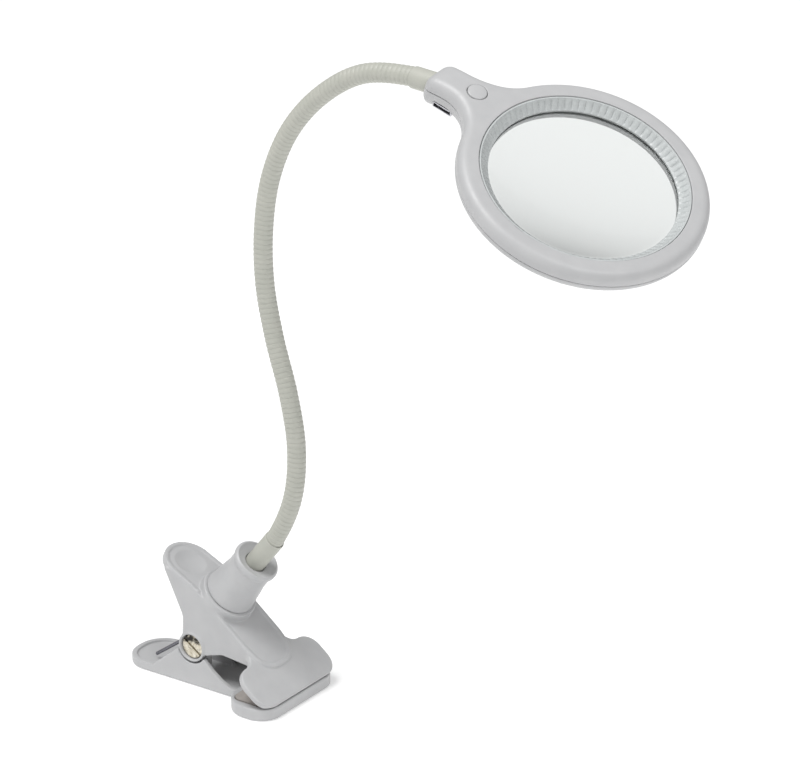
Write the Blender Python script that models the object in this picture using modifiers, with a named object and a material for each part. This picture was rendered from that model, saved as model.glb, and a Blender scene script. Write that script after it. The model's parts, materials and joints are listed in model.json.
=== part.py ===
"""Clip-on magnifying lamp with a gooseneck and a lit ring-shaped head.

World frame: +Z up, +X from the clip's handles towards its jaw tips, +Y to the lamp's left.
The origin is the centre of the upper jaw's gripping face.  The upper jaw's own frame, the
arm frame, leans down the arm by ARM_SLOPE: its +X runs to the jaw tip, its +Z out of the arm.
The head's own frame has its origin at the lens seat, +Z out of the lens and its stem at -X.
"""

import math

import bmesh
import bpy
from mathutils import Euler, Matrix, Vector

MM = 0.001
DEG = math.pi / 180.0

# ---- clearances ---------------------------------------------------------------------------
REST_GAP = 0.3 * MM          # between pieces that rest on each other
FIT_GAP = 0.3 * MM           # round a piece that sits in a hole or pocket
BITE = 0.5 * MM              # how far a joined solid reaches into its neighbour
THROUGH = 4.0 * MM           # how far a cutter runs past the wall that it cuts

# ---- clip: shared sizes -------------------------------------------------------------------
ARM_SLOPE = 38.3 * DEG       # fall of the upper arm towards the jaw tip
PIVOT = Vector((-45.2 * MM, 0.0, 7.6 * MM))
JAW_HALF_WIDTH = 31.0 * MM
PAD_HALF_WIDTH = 26.0 * MM
PAD_THICKNESS = 1.8 * MM
PAD_POCKET = 0.9 * MM        # depth of the pocket that a pad is bonded in

# ---- upper jaw, in the arm frame ----------------------------------------------------------
ARM_HALF_WIDTH = 14.8 * MM
ARM_PLATE = 3.0 * MM
ARM_STEP = 1.0 * MM          # the arm's plateau stands this far above the jaw head
ARM_START = -62.0 * MM
PLATEAU_END = -2.0 * MM
SKIRT_WALL = 2.7 * MM
JAW_PLATE = 3.2 * MM
JAW_FRONT = 14.4 * MM
JAW_BACK = -10.0 * MM
HANDLE_CENTRE = -73.4 * MM
HANDLE_RADIUS = 14.2 * MM
HANDLE_PLATE = 4.0 * MM
HANDLE_BEND_AT = -60.0 * MM
HANDLE_BEND = 12.0 * DEG
DISH_RADIUS = 9.4 * MM
DISH_DEPTH = 2.1 * MM

# ---- lower jaw, in world directions -------------------------------------------------------
TIP_GAP = 0.4 * MM           # between the closed jaw tips
LOWER_HEIGHT = 6.4 * MM      # underside of the lower jaw to its gripping face
LOWER_FLOOR = 3.0 * MM
LOWER_WALL = 2.8 * MM
LOWER_HALF_WIDTH = 15.7 * MM
LOWER_TIP = -90.8 * MM
LOWER_HEAD_BACK = -15.8 * MM
LOWER_HEAD_FRONT = 13.7 * MM
LOWER_RIM = 4.3 * MM         # height of the handle tray

# ---- pivot --------------------------------------------------------------------------------
BOSS_RADIUS = 8.0 * MM
BOSS_OUTER = 15.6 * MM       # half distance over the two bosses
BOSS_WEB_OUTER = 12.6 * MM   # outer face of the wall that the screw head clamps
BOSS_WEB_INNER = 11.0 * MM
SCREW_HEAD_RADIUS = 6.4 * MM
SCREW_HEAD = 1.3 * MM
SCREW_SHANK_RADIUS = 2.6 * MM
SLOT_WIDTH = 1.2 * MM
SLOT_DEPTH = 0.7 * MM
BARREL_RADIUS = 3.4 * MM
EAR_WALL = 2.8 * MM
EAR_RADIUS = 7.5 * MM
WIRE_RADIUS = 0.9 * MM
COIL_RADIUS = 5.1 * MM       # centre of the spring wire to the pivot axis
COIL_TURNS = 5
LOWER_LEG = 32.5 * MM
UPPER_LEG = 21.0 * MM

# ---- neck socket and ferrules, in the arm frame -------------------------------------------
SOCKET_X = -47.0 * MM
PEDESTAL_RADIUS = 15.0 * MM
PEDESTAL_HEIGHT = 3.8 * MM
SOCKET_HEIGHT = 28.4 * MM
SOCKET_BASE_RADIUS = 13.4 * MM
SOCKET_WAIST_RADIUS = 11.1 * MM
SOCKET_RIM_RADIUS = 12.1 * MM
SOCKET_SEAT = 12.0 * MM      # height of the socket's inner floor above its base
FERRULE_RADIUS = 5.3 * MM
TAIL_RADIUS = 4.0 * MM       # threaded tail of the lower ferrule
WIRE_BORE_RADIUS = 2.0 * MM
COLLAR_SHOW = 16.7 * MM      # socket top to the first bend of the neck
WASHER_RADIUS = 8.0 * MM
WASHER_PLATE = 1.0 * MM
NUT_ACROSS_FLATS = 12.0 * MM
NUT_HEIGHT = 4.0 * MM
TAIL_PAST_NUT = 1.2 * MM

# ---- neck ---------------------------------------------------------------------------------
NECK_RADIUS = 4.7 * MM
DOME_RADIUS = 5.6 * MM       # ball end of each link, about its joint
LINK_LENGTH = 27.9 * MM      # joint to joint
LINK_LEANS = (24.5, 5.5, -9.5, -16.25, -11.25, -0.75, 9.75, 24.5, 41.75, 58.5, 82.25)

# ---- head, in the head frame --------------------------------------------------------------
HEAD_PITCH = 27.4 * DEG
HEAD_ROLL = 15.5 * DEG
HEAD_YAW = 1.5 * DEG
RING_RADIUS = 59.0 * MM
STEM_HALF_WIDTH = 9.0 * MM
STEM_END = -RING_RADIUS - 30.0 * MM
SHOULDER_RADIUS = 25.0 * MM
STEM_CORNER = 5.0 * MM
HEAD_TOP = 5.8 * MM
HEAD_BOTTOM = -6.6 * MM
PARTING = -1.0 * MM          # lower edge of the top shell
HEAD_WALL = 2.0 * MM
EDGE_ROUND = 4.6 * MM
UNDER_ROUND = 4.9 * MM       # rounding of the lower edge
OPENING_RADIUS = RING_RADIUS - 9.3 * MM
DROOP_START = -RING_RADIUS - 3.0 * MM     # from here on the stem curves down towards the neck
DROOP_STRIP = 5.2 * MM
DROOP_END = 21.0 * DEG
DEEPEN_START = 9.0 * MM - RING_RADIUS    # from here on the stem gets deeper towards the neck
DEEPEN_SLOPE = 0.14
HEAD_FERRULE_SHOW = 9.6 * MM
FERRULE_SEAT = 4.5 * MM      # how far the collar goes into the stem
HEAD_TAIL = 2.5 * MM
FERRULE_TILT = 25.0 * DEG
LENS_RADIUS = RING_RADIUS - 12.6 * MM
LENS_VIEW_RADIUS = LENS_RADIUS - 2.0 * MM
LENS_RIM = 2.2 * MM
LENS_CURVE_RADIUS = 326.0 * MM
SEAT_WIDTH = 1.5 * MM
GUIDE_FLANGE_RADIUS = OPENING_RADIUS + 1.7 * MM
GUIDE_FLANGE = 1.6 * MM
BOARD_THICKNESS = 1.0 * MM
LED_BOARD_OUTER = RING_RADIUS - 3.2 * MM
LED_BOARD_TOP = -2.6 * MM
LED_COUNT = 12
LED_CIRCLE = RING_RADIUS - 8.8 * MM
LED_SIZE = (2.8 * MM, 3.5 * MM, 1.4 * MM)
SCREW_BOSS_RADIUS = 2.5 * MM
HEAD_SCREW_RADIUS = 1.05 * MM
HEAD_SCREW_HEAD_RADIUS = 2.2 * MM
SUNK_HEAD_WALL = 0.8 * MM    # wall round each sunk screw head
HEAD_SCREW_HEAD = 1.4 * MM
HEAD_SCREW_REACH = 3.0 * MM  # how far a screw stands above the bottom of its top boss
SHOULDER_SCREW = (0.5 * MM - RING_RADIUS, 11.0 * MM)
FAR_SCREW_CIRCLE = RING_RADIUS - 4.7 * MM
FAR_SCREW_ANGLE = 60.0 * DEG
BUTTON_X = -RING_RADIUS - 6.4 * MM
BUTTON_RADIUS = 4.6 * MM
BUTTON_PROUD = 0.6 * MM
BUTTON_TRAVEL = 0.8 * MM
BUTTON_FLANGE = 0.6 * MM
CONTROL_BOARD_X = (-RING_RADIUS - 16.5 * MM, 0.5 * MM - RING_RADIUS)
CONTROL_BOARD_HALF_WIDTH = 6.6 * MM
CONTROL_BOARD_TOP = -2.4 * MM
SWITCH_SIZE = 6.0 * MM
SWITCH_HEIGHT = 1.7 * MM
PLUNGER_RADIUS = 1.6 * MM
PLUNGER_HEIGHT = 0.5 * MM
INLET_X = -RING_RADIUS - 16.5 * MM
INLET_DROP = 8.9 * MM        # from the head's zero plane to the middle of the inlet
INLET_TILT = 9.0 * DEG       # follows the stem's underside
INLET_WIDTH = 10.5 * MM
INLET_HEIGHT = 2.8 * MM
INLET_LENGTH = 5.6 * MM
LEAD_RADIUS = 0.55 * MM
LEAD_SPREAD = 2.2 * MM

# ---- smoothness ---------------------------------------------------------------------------
ARC_STEP = 15.0 * DEG
RING_STEPS = 48
ROUND_STEPS = 28
NECK_STEPS = 16
SMALL_STEPS = 16

COLOURS = {
    "housing_plastic": ((0.74, 0.74, 0.75), 0.42, 0.0),
    "neck_sleeve": ((0.71, 0.71, 0.66), 0.50, 0.0),
    "soft_pad": ((0.55, 0.49, 0.45), 0.80, 0.0),
    "nickel": ((0.68, 0.66, 0.58), 0.30, 1.0),
    "spring_steel": ((0.20, 0.20, 0.23), 0.35, 1.0),
    "zinc_steel": ((0.60, 0.60, 0.62), 0.35, 1.0),
    "light_guide": ((0.78, 0.80, 0.79), 0.30, 0.0),
    "lens_glass": ((0.93, 0.96, 0.95), 0.02, 0.0),
    "circuit_board": ((0.05, 0.20, 0.10), 0.55, 0.0),
    "led_package": ((0.90, 0.86, 0.55), 0.35, 0.0),
    "black_plastic": ((0.04, 0.04, 0.04), 0.50, 0.0),
    "lead_insulation": ((0.60, 0.05, 0.04), 0.50, 0.0),
}


# =============================================================================================
# scene helpers
# =============================================================================================

def clear_scene():
    for item in list(bpy.data.objects):
        bpy.data.objects.remove(item, do_unlink=True)


def make_collection(name):
    collection = bpy.data.collections.new(name)
    bpy.context.scene.collection.children.link(collection)
    return collection


def make_materials():
    made = {}
    for name, (colour, roughness, metallic) in COLOURS.items():
        material = bpy.data.materials.new(name)
        material.use_nodes = True
        shader = material.node_tree.nodes["Principled BSDF"]
        shader.inputs["Base Color"].default_value = (*colour, 1.0)
        shader.inputs["Roughness"].default_value = roughness
        shader.inputs["Metallic"].default_value = metallic
        made[name] = material
    return made


def add_empty(name, location=(0, 0, 0), rotation=(0, 0, 0)):
    empty = bpy.data.objects.new(name, None)
    empty.location = location
    empty.rotation_euler = rotation
    PARTS.objects.link(empty)
    return empty


def add_part(name, mesh, material, parent=None, location=(0, 0, 0), rotation=(0, 0, 0)):
    """A named sub-part: one object with its own copy of its material."""
    part = bpy.data.objects.new(name, mesh)
    mesh.name = name
    own = MATERIALS[material].copy()
    own.name = f"{name}_{material}"
    mesh.materials.clear()
    mesh.materials.append(own)
    part.parent = parent
    part.location = location
    part.rotation_euler = rotation
    PARTS.objects.link(part)
    return part


def add_tool(mesh, parent=None, location=(0, 0, 0), rotation=(0, 0, 0)):
    """A solid that is only used to cut or extend a sub-part."""
    tool = bpy.data.objects.new(mesh.name, mesh)
    tool.parent = parent
    tool.location = location
    tool.rotation_euler = rotation
    tool.hide_render = True
    tool.display_type = "WIRE"
    TOOLS.objects.link(tool)
    return tool


def boolean(part, tool, operation):
    modifier = part.modifiers.new(operation.lower(), "BOOLEAN")
    modifier.object = tool
    modifier.operation = operation
    modifier.solver = "EXACT"


def join(part, mesh, parent=None, location=(0, 0, 0), rotation=(0, 0, 0)):
    boolean(part, add_tool(mesh, parent or part.parent, location, rotation), "UNION")


def cut(part, mesh, parent=None, location=(0, 0, 0), rotation=(0, 0, 0)):
    boolean(part, add_tool(mesh, parent or part.parent, location, rotation), "DIFFERENCE")


def settle(part):
    """Make the result of a part's modifiers its own mesh."""
    graph = bpy.context.evaluated_depsgraph_get()
    graph.update()
    mesh = bpy.data.meshes.new_from_object(part.evaluated_get(graph))
    part.modifiers.clear()
    part.data = mesh


def smooth(part, angle=40.0 * DEG):
    part.data.shade_smooth()
    part.data.set_sharp_from_angle(angle=angle)


# =============================================================================================
# shape helpers
# =============================================================================================

def arc(centre, radius, start, end, step=ARC_STEP):
    """Points on an arc, both ends included."""
    count = max(2, math.ceil(abs(end - start) / step))
    points = []
    for index in range(count + 1):
        angle = start + (end - start) * index / count
        points.append((centre[0] + radius * math.cos(angle), centre[1] + radius * math.sin(angle)))
    return points


def circle(radius, centre=(0, 0), steps=ROUND_STEPS):
    return arc(centre, radius, 0.0, 2.0 * math.pi, 2.0 * math.pi / steps)[:-1]


def rounded(corners):
    """Closed outline from (x, y, radius) corners, each rounded by an arc."""
    outline = []
    for index, (x, y, radius) in enumerate(corners):
        here = Vector((x, y))
        if radius <= 0.0:
            outline.append((x, y))
            continue
        before = (Vector(corners[index - 1][:2]) - here).normalized()
        after = (Vector(corners[(index + 1) % len(corners)][:2]) - here).normalized()
        half = before.angle(after) / 2.0
        centre = here + (before + after).normalized() * (radius / math.sin(half))
        first = here + before * (radius / math.tan(half)) - centre
        last = here + after * (radius / math.tan(half)) - centre
        start = math.atan2(first.y, first.x)
        turn = (math.atan2(last.y, last.x) - start + math.pi) % (2.0 * math.pi) - math.pi
        outline.extend(arc(centre, radius, start, start + turn))
    return outline


def plate(outline, low, high, holes=()):
    """Mesh of a flat outline in XY, with holes, between the heights low and high."""
    curve = bpy.data.curves.new("outline", "CURVE")
    curve.dimensions = "2D"
    curve.fill_mode = "BOTH"
    curve.extrude = (high - low) / 2.0
    for points in (outline, *holes):
        spline = curve.splines.new("POLY")
        spline.points.add(len(points) - 1)
        for spot, (x, y) in zip(spline.points, points):
            spot.co = (x, y, 0.0, 1.0)
        spline.use_cyclic_u = True
    holder = bpy.data.objects.new("outline", curve)
    bpy.context.scene.collection.objects.link(holder)
    mesh = mesh_of(holder)
    mesh.transform(Matrix.Translation((0, 0, (high + low) / 2.0)))
    return mesh


def mesh_of(holder):
    """Turn a curve object into a mesh with its caps welded, and remove the curve object."""
    graph = bpy.context.evaluated_depsgraph_get()
    graph.update()
    mesh = bpy.data.meshes.new_from_object(holder.evaluated_get(graph))
    work = bmesh.new()
    work.from_mesh(mesh)
    bmesh.ops.remove_doubles(work, verts=work.verts, dist=0.000001)
    bmesh.ops.recalc_face_normals(work, faces=work.faces)
    work.to_mesh(mesh)
    work.free()
    curve = holder.data
    bpy.data.objects.remove(holder, do_unlink=True)
    bpy.data.curves.remove(curve)
    return mesh


def side_plate(outline, near, far):
    """Mesh of an outline in XZ, between two distances along Y."""
    mesh = plate(outline, -far, -near)
    mesh.transform(Matrix.Rotation(math.pi / 2.0, 4, "X"))
    return mesh


def box(low, high):
    work = bmesh.new()
    bmesh.ops.create_cube(work, size=1.0)
    size = [high[axis] - low[axis] for axis in range(3)]
    middle = [(high[axis] + low[axis]) / 2.0 for axis in range(3)]
    bmesh.ops.scale(work, vec=size, verts=work.verts)
    bmesh.ops.translate(work, vec=middle, verts=work.verts)
    return finished(work, "box")


def cylinder(radius, low, high, steps=ROUND_STEPS, top_radius=None):
    """Cylinder or cone along Z."""
    work = bmesh.new()
    end = radius if top_radius is None else top_radius
    bmesh.ops.create_cone(work, cap_ends=True, segments=steps, radius1=radius, radius2=end,
                          depth=high - low)
    bmesh.ops.translate(work, vec=(0, 0, (high + low) / 2.0), verts=work.verts)
    return finished(work, "cylinder")


def cross_cylinder(radius, low, high, steps=ROUND_STEPS):
    """Cylinder along Y, between two distances along Y."""
    mesh = cylinder(radius, low, high, steps)
    mesh.transform(Matrix.Rotation(-math.pi / 2.0, 4, "X"))
    return mesh


def finished(work, name):
    mesh = bpy.data.meshes.new(name)
    work.to_mesh(mesh)
    work.free()
    return mesh


def turned(profile, steps=ROUND_STEPS, closed=False):
    """Solid of revolution about Z.  The profile of (radius, height) runs down its outer side."""
    work = bmesh.new()
    spots = [work.verts.new((radius, 0.0, height)) for radius, height in profile]
    for first, second in zip(spots, spots[1:]):
        work.edges.new((first, second))
    if closed:
        work.edges.new((spots[-1], spots[0]))
    holder = bpy.data.objects.new("turned", finished(work, "profile"))
    bpy.context.scene.collection.objects.link(holder)
    screw = holder.modifiers.new("screw", "SCREW")
    screw.steps = steps
    screw.render_steps = steps
    screw.use_merge_vertices = True
    screw.merge_threshold = 0.00001
    graph = bpy.context.evaluated_depsgraph_get()
    graph.update()
    mesh = bpy.data.meshes.new_from_object(holder.evaluated_get(graph))
    bpy.data.objects.remove(holder, do_unlink=True)
    return mesh


def round_rim(mesh, height, width, segments=2):
    """Round the flat outer rim of a plate whose face lies at the given height."""
    work = bmesh.new()
    work.from_mesh(mesh)
    bmesh.ops.dissolve_limit(work, angle_limit=DEG, verts=work.verts, edges=work.edges)
    rim = []
    for edge in work.edges:
        level = all(abs(vert.co.z - height) < 0.00001 for vert in edge.verts)
        if level and edge.calc_face_angle(0.0) > 60.0 * DEG:
            rim.append(edge)
    bmesh.ops.bevel(work, geom=rim, offset=width, segments=segments, profile=0.5,
                    affect="EDGES", clamp_overlap=False)
    work.to_mesh(mesh)
    work.free()
    return mesh


def tube(points, radius):
    """Round wire through the points, with flat ends."""
    curve = bpy.data.curves.new("wire", "CURVE")
    curve.dimensions = "3D"
    curve.bevel_depth = radius
    curve.bevel_resolution = 2
    curve.use_fill_caps = True
    spline = curve.splines.new("POLY")
    spline.points.add(len(points) - 1)
    for spot, point in zip(spline.points, points):
        spot.co = (*point, 1.0)
    holder = bpy.data.objects.new("wire", curve)
    bpy.context.scene.collection.objects.link(holder)
    return mesh_of(holder)


def turn_about(point, angle):
    """Rotation about a line along Y through a point."""
    shift = Matrix.Translation(point)
    return shift @ Matrix.Rotation(angle, 4, "Y") @ shift.inverted()


# =============================================================================================
# places worked out from the sizes
# =============================================================================================

def arm_to_world(x, z):
    return Vector((x * math.cos(ARM_SLOPE) + z * math.sin(ARM_SLOPE), 0.0,
                   z * math.cos(ARM_SLOPE) - x * math.sin(ARM_SLOPE)))


def world_to_arm(point):
    return Vector((point.x * math.cos(ARM_SLOPE) - point.z * math.sin(ARM_SLOPE), 0.0,
                   point.x * math.sin(ARM_SLOPE) + point.z * math.cos(ARM_SLOPE)))


JAW_UNDER = PAD_THICKNESS - PAD_POCKET + REST_GAP        # underside of the jaw head
JAW_TOP = JAW_UNDER + JAW_PLATE
ARM_TOP = JAW_TOP + ARM_STEP
ARM_UNDER = ARM_TOP - ARM_PLATE
PEDESTAL_TOP = ARM_TOP + PEDESTAL_HEIGHT
SOCKET_BASE = PEDESTAL_TOP + REST_GAP
SOCKET_TOP = SOCKET_BASE + SOCKET_HEIGHT
FERRULE_FOOT = SOCKET_BASE + SOCKET_SEAT + REST_GAP
FIRST_JOINT = SOCKET_TOP + COLLAR_SHOW
PIVOT_IN_ARM = world_to_arm(PIVOT)
WASHER_TOP = ARM_UNDER - REST_GAP
NUT_TOP = WASHER_TOP - WASHER_PLATE - REST_GAP
CUP_RADIUS = DOME_RADIUS + FIT_GAP

# The closed jaws meet at the tip: the upper tip is cut level there, and the lower
# gripping face lies TIP_GAP below that cut.
PAD_FRONT = JAW_FRONT - 4.5 * MM
TIP_LEVEL = arm_to_world(PAD_FRONT, 0.0).z - 0.1 * MM
LOWER_GRIP = TIP_LEVEL - TIP_GAP
LOWER_UNDER = LOWER_GRIP - LOWER_HEIGHT
LOWER_FLOOR_TOP = LOWER_UNDER + LOWER_FLOOR
EAR_OUTER = BOSS_WEB_INNER - FIT_GAP
EAR_INNER = EAR_OUTER - EAR_WALL
BOSS_CLEARANCE = BOSS_RADIUS + 3.0 * FIT_GAP

CAVITY_TOP = HEAD_TOP - HEAD_WALL
CAVITY_FLOOR = HEAD_BOTTOM + HEAD_WALL
BOTTOM_EDGE = PARTING - REST_GAP
LENS_TOP = 0.2 * MM
LENS_UNDER = LENS_TOP - LENS_RIM
SEAT_TOP = LENS_UNDER - REST_GAP
TUBE_INNER = LENS_RADIUS + FIT_GAP
TUBE_OUTER = TUBE_INNER + SEAT_WIDTH
LED_BOARD_UNDER = LED_BOARD_TOP - BOARD_THICKNESS
BOARD_LEDGE = TUBE_OUTER + 2.0 * MM
GUIDE_TOP = HEAD_TOP - 0.5 * MM
FLANGE_TOP = CAVITY_TOP - REST_GAP
FLANGE_UNDER = FLANGE_TOP - GUIDE_FLANGE
TOP_BOSS_FOOT = BOTTOM_EDGE + REST_GAP + 0.5 * MM
LOWER_BOSS_RADIUS = HEAD_SCREW_HEAD_RADIUS + FIT_GAP + SUNK_HEAD_WALL


def droop(x):
    """How far the stem has curved down at x: a parabola, made of straight strips."""
    if x >= DROOP_START:
        return 0.0
    rate = math.tan(DROOP_END) / (2.0 * (DROOP_START - STEM_END))
    strip = math.floor((DROOP_START - x) / DROOP_STRIP)
    low = strip * DROOP_STRIP
    high = low + DROOP_STRIP
    share = (DROOP_START - x - low) / DROOP_STRIP
    return rate * (low * low * (1.0 - share) + high * high * share)


def stem_bottom(x, height):
    """How far a point of the lower shell moves down: the droop, and more the lower it lies."""
    share = min(max((PARTING - height) / (PARTING - HEAD_BOTTOM), 0.0), 1.0)
    return droop(x) + max(DEEPEN_START - x, 0.0) * DEEPEN_SLOPE * share


def neck_joints():
    """World places of the neck's joints, from the socket to the head."""
    places = [arm_to_world(SOCKET_X, FIRST_JOINT)]
    for lean in LINK_LEANS:
        step = Vector((math.sin(lean * DEG), 0.0, math.cos(lean * DEG))) * LINK_LENGTH
        places.append(places[-1] + step)
    return places


def ferrule_axis():
    """Direction of the upper ferrule in the head frame, from the neck into the stem."""
    return Vector((math.cos(FERRULE_TILT), 0.0, math.sin(FERRULE_TILT)))


def cup_rim(radius):
    """Height above its joint at which a cup meets the side of a round piece."""
    return math.sqrt(CUP_RADIUS ** 2 - radius ** 2)


def dome_rim(radius):
    return math.sqrt(DOME_RADIUS ** 2 - radius ** 2)


STEM_END_TOP = HEAD_TOP - droop(STEM_END)
STEM_END_BOTTOM = HEAD_BOTTOM - stem_bottom(STEM_END, HEAD_BOTTOM)
STEM_FACE = Vector((STEM_END, 0.0, (STEM_END_TOP + STEM_END_BOTTOM) / 2.0))
LAST_JOINT_IN_HEAD = STEM_FACE - ferrule_axis() * (HEAD_FERRULE_SHOW + cup_rim(FERRULE_RADIUS))
INLET_PLACE = Vector((INLET_X, 0.0, -INLET_DROP))
HEAD_ROTATION = Euler((HEAD_ROLL, HEAD_PITCH, HEAD_YAW), "XYZ")


def head_place():
    return neck_joints()[-1] - HEAD_ROTATION.to_matrix() @ LAST_JOINT_IN_HEAD


# =============================================================================================
# clip
# =============================================================================================

def pad_outline(front, back, extra=0.0):
    corner = 5.0 * MM + extra
    half = PAD_HALF_WIDTH + extra
    return rounded([(front + extra, half, corner), (back - extra, half, corner),
                    (back - extra, -half, corner), (front + extra, -half, corner)])


def upper_skirt_outline():
    """Side wall of the upper arm in the arm frame, down to the pivot boss."""
    px, pz = PIVOT_IN_ARM.x, PIVOT_IN_ARM.z
    inside = ARM_TOP - 1.4 * MM
    return rounded([
        (JAW_BACK + 2.0 * MM, inside, 0),
        (HANDLE_BEND_AT, inside, 0),
        (HANDLE_CENTRE - 4.5 * MM, inside - 3.9 * MM, 0),
        (HANDLE_CENTRE - 4.5 * MM, JAW_UNDER - 2.6 * MM, 0),
        (px - 14.2 * MM, pz + 9.2 * MM, 9 * MM),
        (px - 8.0 * MM, pz + 0.5 * MM, 0),
        (px, pz, 0),
        (px + 8.2 * MM, pz + 2.8 * MM, 0),
        (px + 14.8 * MM, pz + 12.2 * MM, 7 * MM),
        (JAW_BACK - 3.0 * MM, -2.0 * MM, 0),
        (JAW_BACK + 3.0 * MM, JAW_UNDER + 0.6 * MM, 0),
    ])


def make_upper_jaw(arm):
    plateau = rounded([
        (ARM_START, ARM_HALF_WIDTH, 0), (ARM_START, -ARM_HALF_WIDTH, 0),
        (PLATEAU_END - 16 * MM, -ARM_HALF_WIDTH, 5 * MM), (PLATEAU_END, -12.5 * MM, 11.5 * MM),
        (PLATEAU_END, 12.5 * MM, 11.5 * MM), (PLATEAU_END - 16 * MM, ARM_HALF_WIDTH, 5 * MM),
    ])
    jaw = add_part("upper_jaw", plate(plateau, ARM_UNDER, ARM_TOP), "housing_plastic", arm)

    neck_in = ARM_HALF_WIDTH - 0.1 * MM
    head = rounded([
        (JAW_FRONT, JAW_HALF_WIDTH, 9 * MM), (JAW_BACK, JAW_HALF_WIDTH, 9 * MM),
        (JAW_BACK, neck_in, 7 * MM), (JAW_BACK - 16 * MM, neck_in, 0),
        (JAW_BACK - 16 * MM, -neck_in, 0), (JAW_BACK, -neck_in, 7 * MM),
        (JAW_BACK, -JAW_HALF_WIDTH, 9 * MM), (JAW_FRONT, -JAW_HALF_WIDTH, 9 * MM),
    ])
    join(jaw, plate(head, JAW_UNDER, JAW_TOP))

    handle = arc((HANDLE_CENTRE, 0), HANDLE_RADIUS, math.pi / 2, 3 * math.pi / 2)
    handle += [(HANDLE_BEND_AT + 4 * MM, -ARM_HALF_WIDTH + 0.3 * MM),
               (HANDLE_BEND_AT + 4 * MM, ARM_HALF_WIDTH - 0.3 * MM)]
    grip = plate(handle, ARM_TOP - 0.2 * MM - HANDLE_PLATE, ARM_TOP - 0.2 * MM)
    bend = turn_about((HANDLE_BEND_AT, 0, ARM_TOP), -HANDLE_BEND)
    grip.transform(bend)
    join(jaw, grip)

    for near, far in ((ARM_HALF_WIDTH - SKIRT_WALL, ARM_HALF_WIDTH - 0.1 * MM),
                      (-ARM_HALF_WIDTH + 0.1 * MM, -ARM_HALF_WIDTH + SKIRT_WALL)):
        join(jaw, side_plate(upper_skirt_outline(), near, far))
    for side in (1, -1):
        near, far = sorted((side * BOSS_WEB_INNER, side * BOSS_OUTER))
        join(jaw, cross_cylinder(BOSS_RADIUS, near, far), location=PIVOT_IN_ARM)
    join(jaw, cylinder(PEDESTAL_RADIUS, ARM_TOP - 1.2 * MM, PEDESTAL_TOP), location=(SOCKET_X, 0, 0))

    for side in (1, -1):
        near, far = sorted((side * BOSS_WEB_OUTER, side * (BOSS_OUTER + THROUGH)))
        cut(jaw, cross_cylinder(SCREW_HEAD_RADIUS + FIT_GAP, near, far), location=PIVOT_IN_ARM)
    hole = cross_cylinder(BARREL_RADIUS + FIT_GAP, -BOSS_OUTER - THROUGH, BOSS_OUTER + THROUGH)
    cut(jaw, hole, location=PIVOT_IN_ARM)
    cut(jaw, cylinder(TAIL_RADIUS + FIT_GAP, ARM_UNDER - THROUGH, PEDESTAL_TOP + THROUGH),
        location=(SOCKET_X, 0, 0))

    sphere = (DISH_RADIUS ** 2 + DISH_DEPTH ** 2) / (2.0 * DISH_DEPTH)
    past_rim = 1.3 * math.asin(DISH_RADIUS / sphere)
    bowl = [(0.0, THROUGH), (sphere * math.sin(past_rim), THROUGH)]
    for index in range(4, -1, -1):
        angle = past_rim * index / 4
        bowl.append((sphere * math.sin(angle), sphere * (1 - math.cos(angle)) - DISH_DEPTH))
    dish = turned(bowl)
    dish.transform(Matrix.Translation((HANDLE_CENTRE, 0, ARM_TOP - 0.2 * MM)))
    dish.transform(bend)
    cut(jaw, dish)

    pocket = pad_outline(PAD_FRONT, JAW_BACK + 1.5 * MM, FIT_GAP)
    cut(jaw, plate(pocket, JAW_UNDER - THROUGH, JAW_UNDER + PAD_POCKET))
    tip = box((-0.02, -2 * JAW_HALF_WIDTH, TIP_LEVEL - 0.03), (0.05, 2 * JAW_HALF_WIDTH, TIP_LEVEL))
    boolean(jaw, add_tool(tip), "DIFFERENCE")
    settle(jaw)
    smooth(jaw)


def make_upper_pad(arm):
    outline = pad_outline(PAD_FRONT, JAW_BACK + 1.5 * MM)
    add_part("upper_pad", plate(outline, 0.0, PAD_THICKNESS), "soft_pad", arm)


def lower_body_outline(inset, front):
    half = LOWER_HALF_WIDTH - inset
    corner = LOWER_HALF_WIDTH - 1.5 * MM - inset
    return rounded([(LOWER_TIP + inset, half, corner), (LOWER_TIP + inset, -half, corner),
                    (front, -half, 0), (front, half, 0)])


def lower_wall_outline(base):
    """Side wall of the lower jaw, about the pivot, rising from the base."""
    return rounded([
        (-26.0 * MM, base, 0), (-24.0 * MM, base + 3.0 * MM, 0), (-8.5 * MM, -2.6 * MM, 0),
        (0.0, -2.6 * MM, 0), (8.6 * MM, -5.4 * MM, 0), (13.0 * MM, -9.6 * MM, 4 * MM),
        (18.5 * MM, -13.6 * MM, 5 * MM), (26.0 * MM, base + 1.0 * MM, 0), (26.0 * MM, base, 0),
    ])


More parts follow.
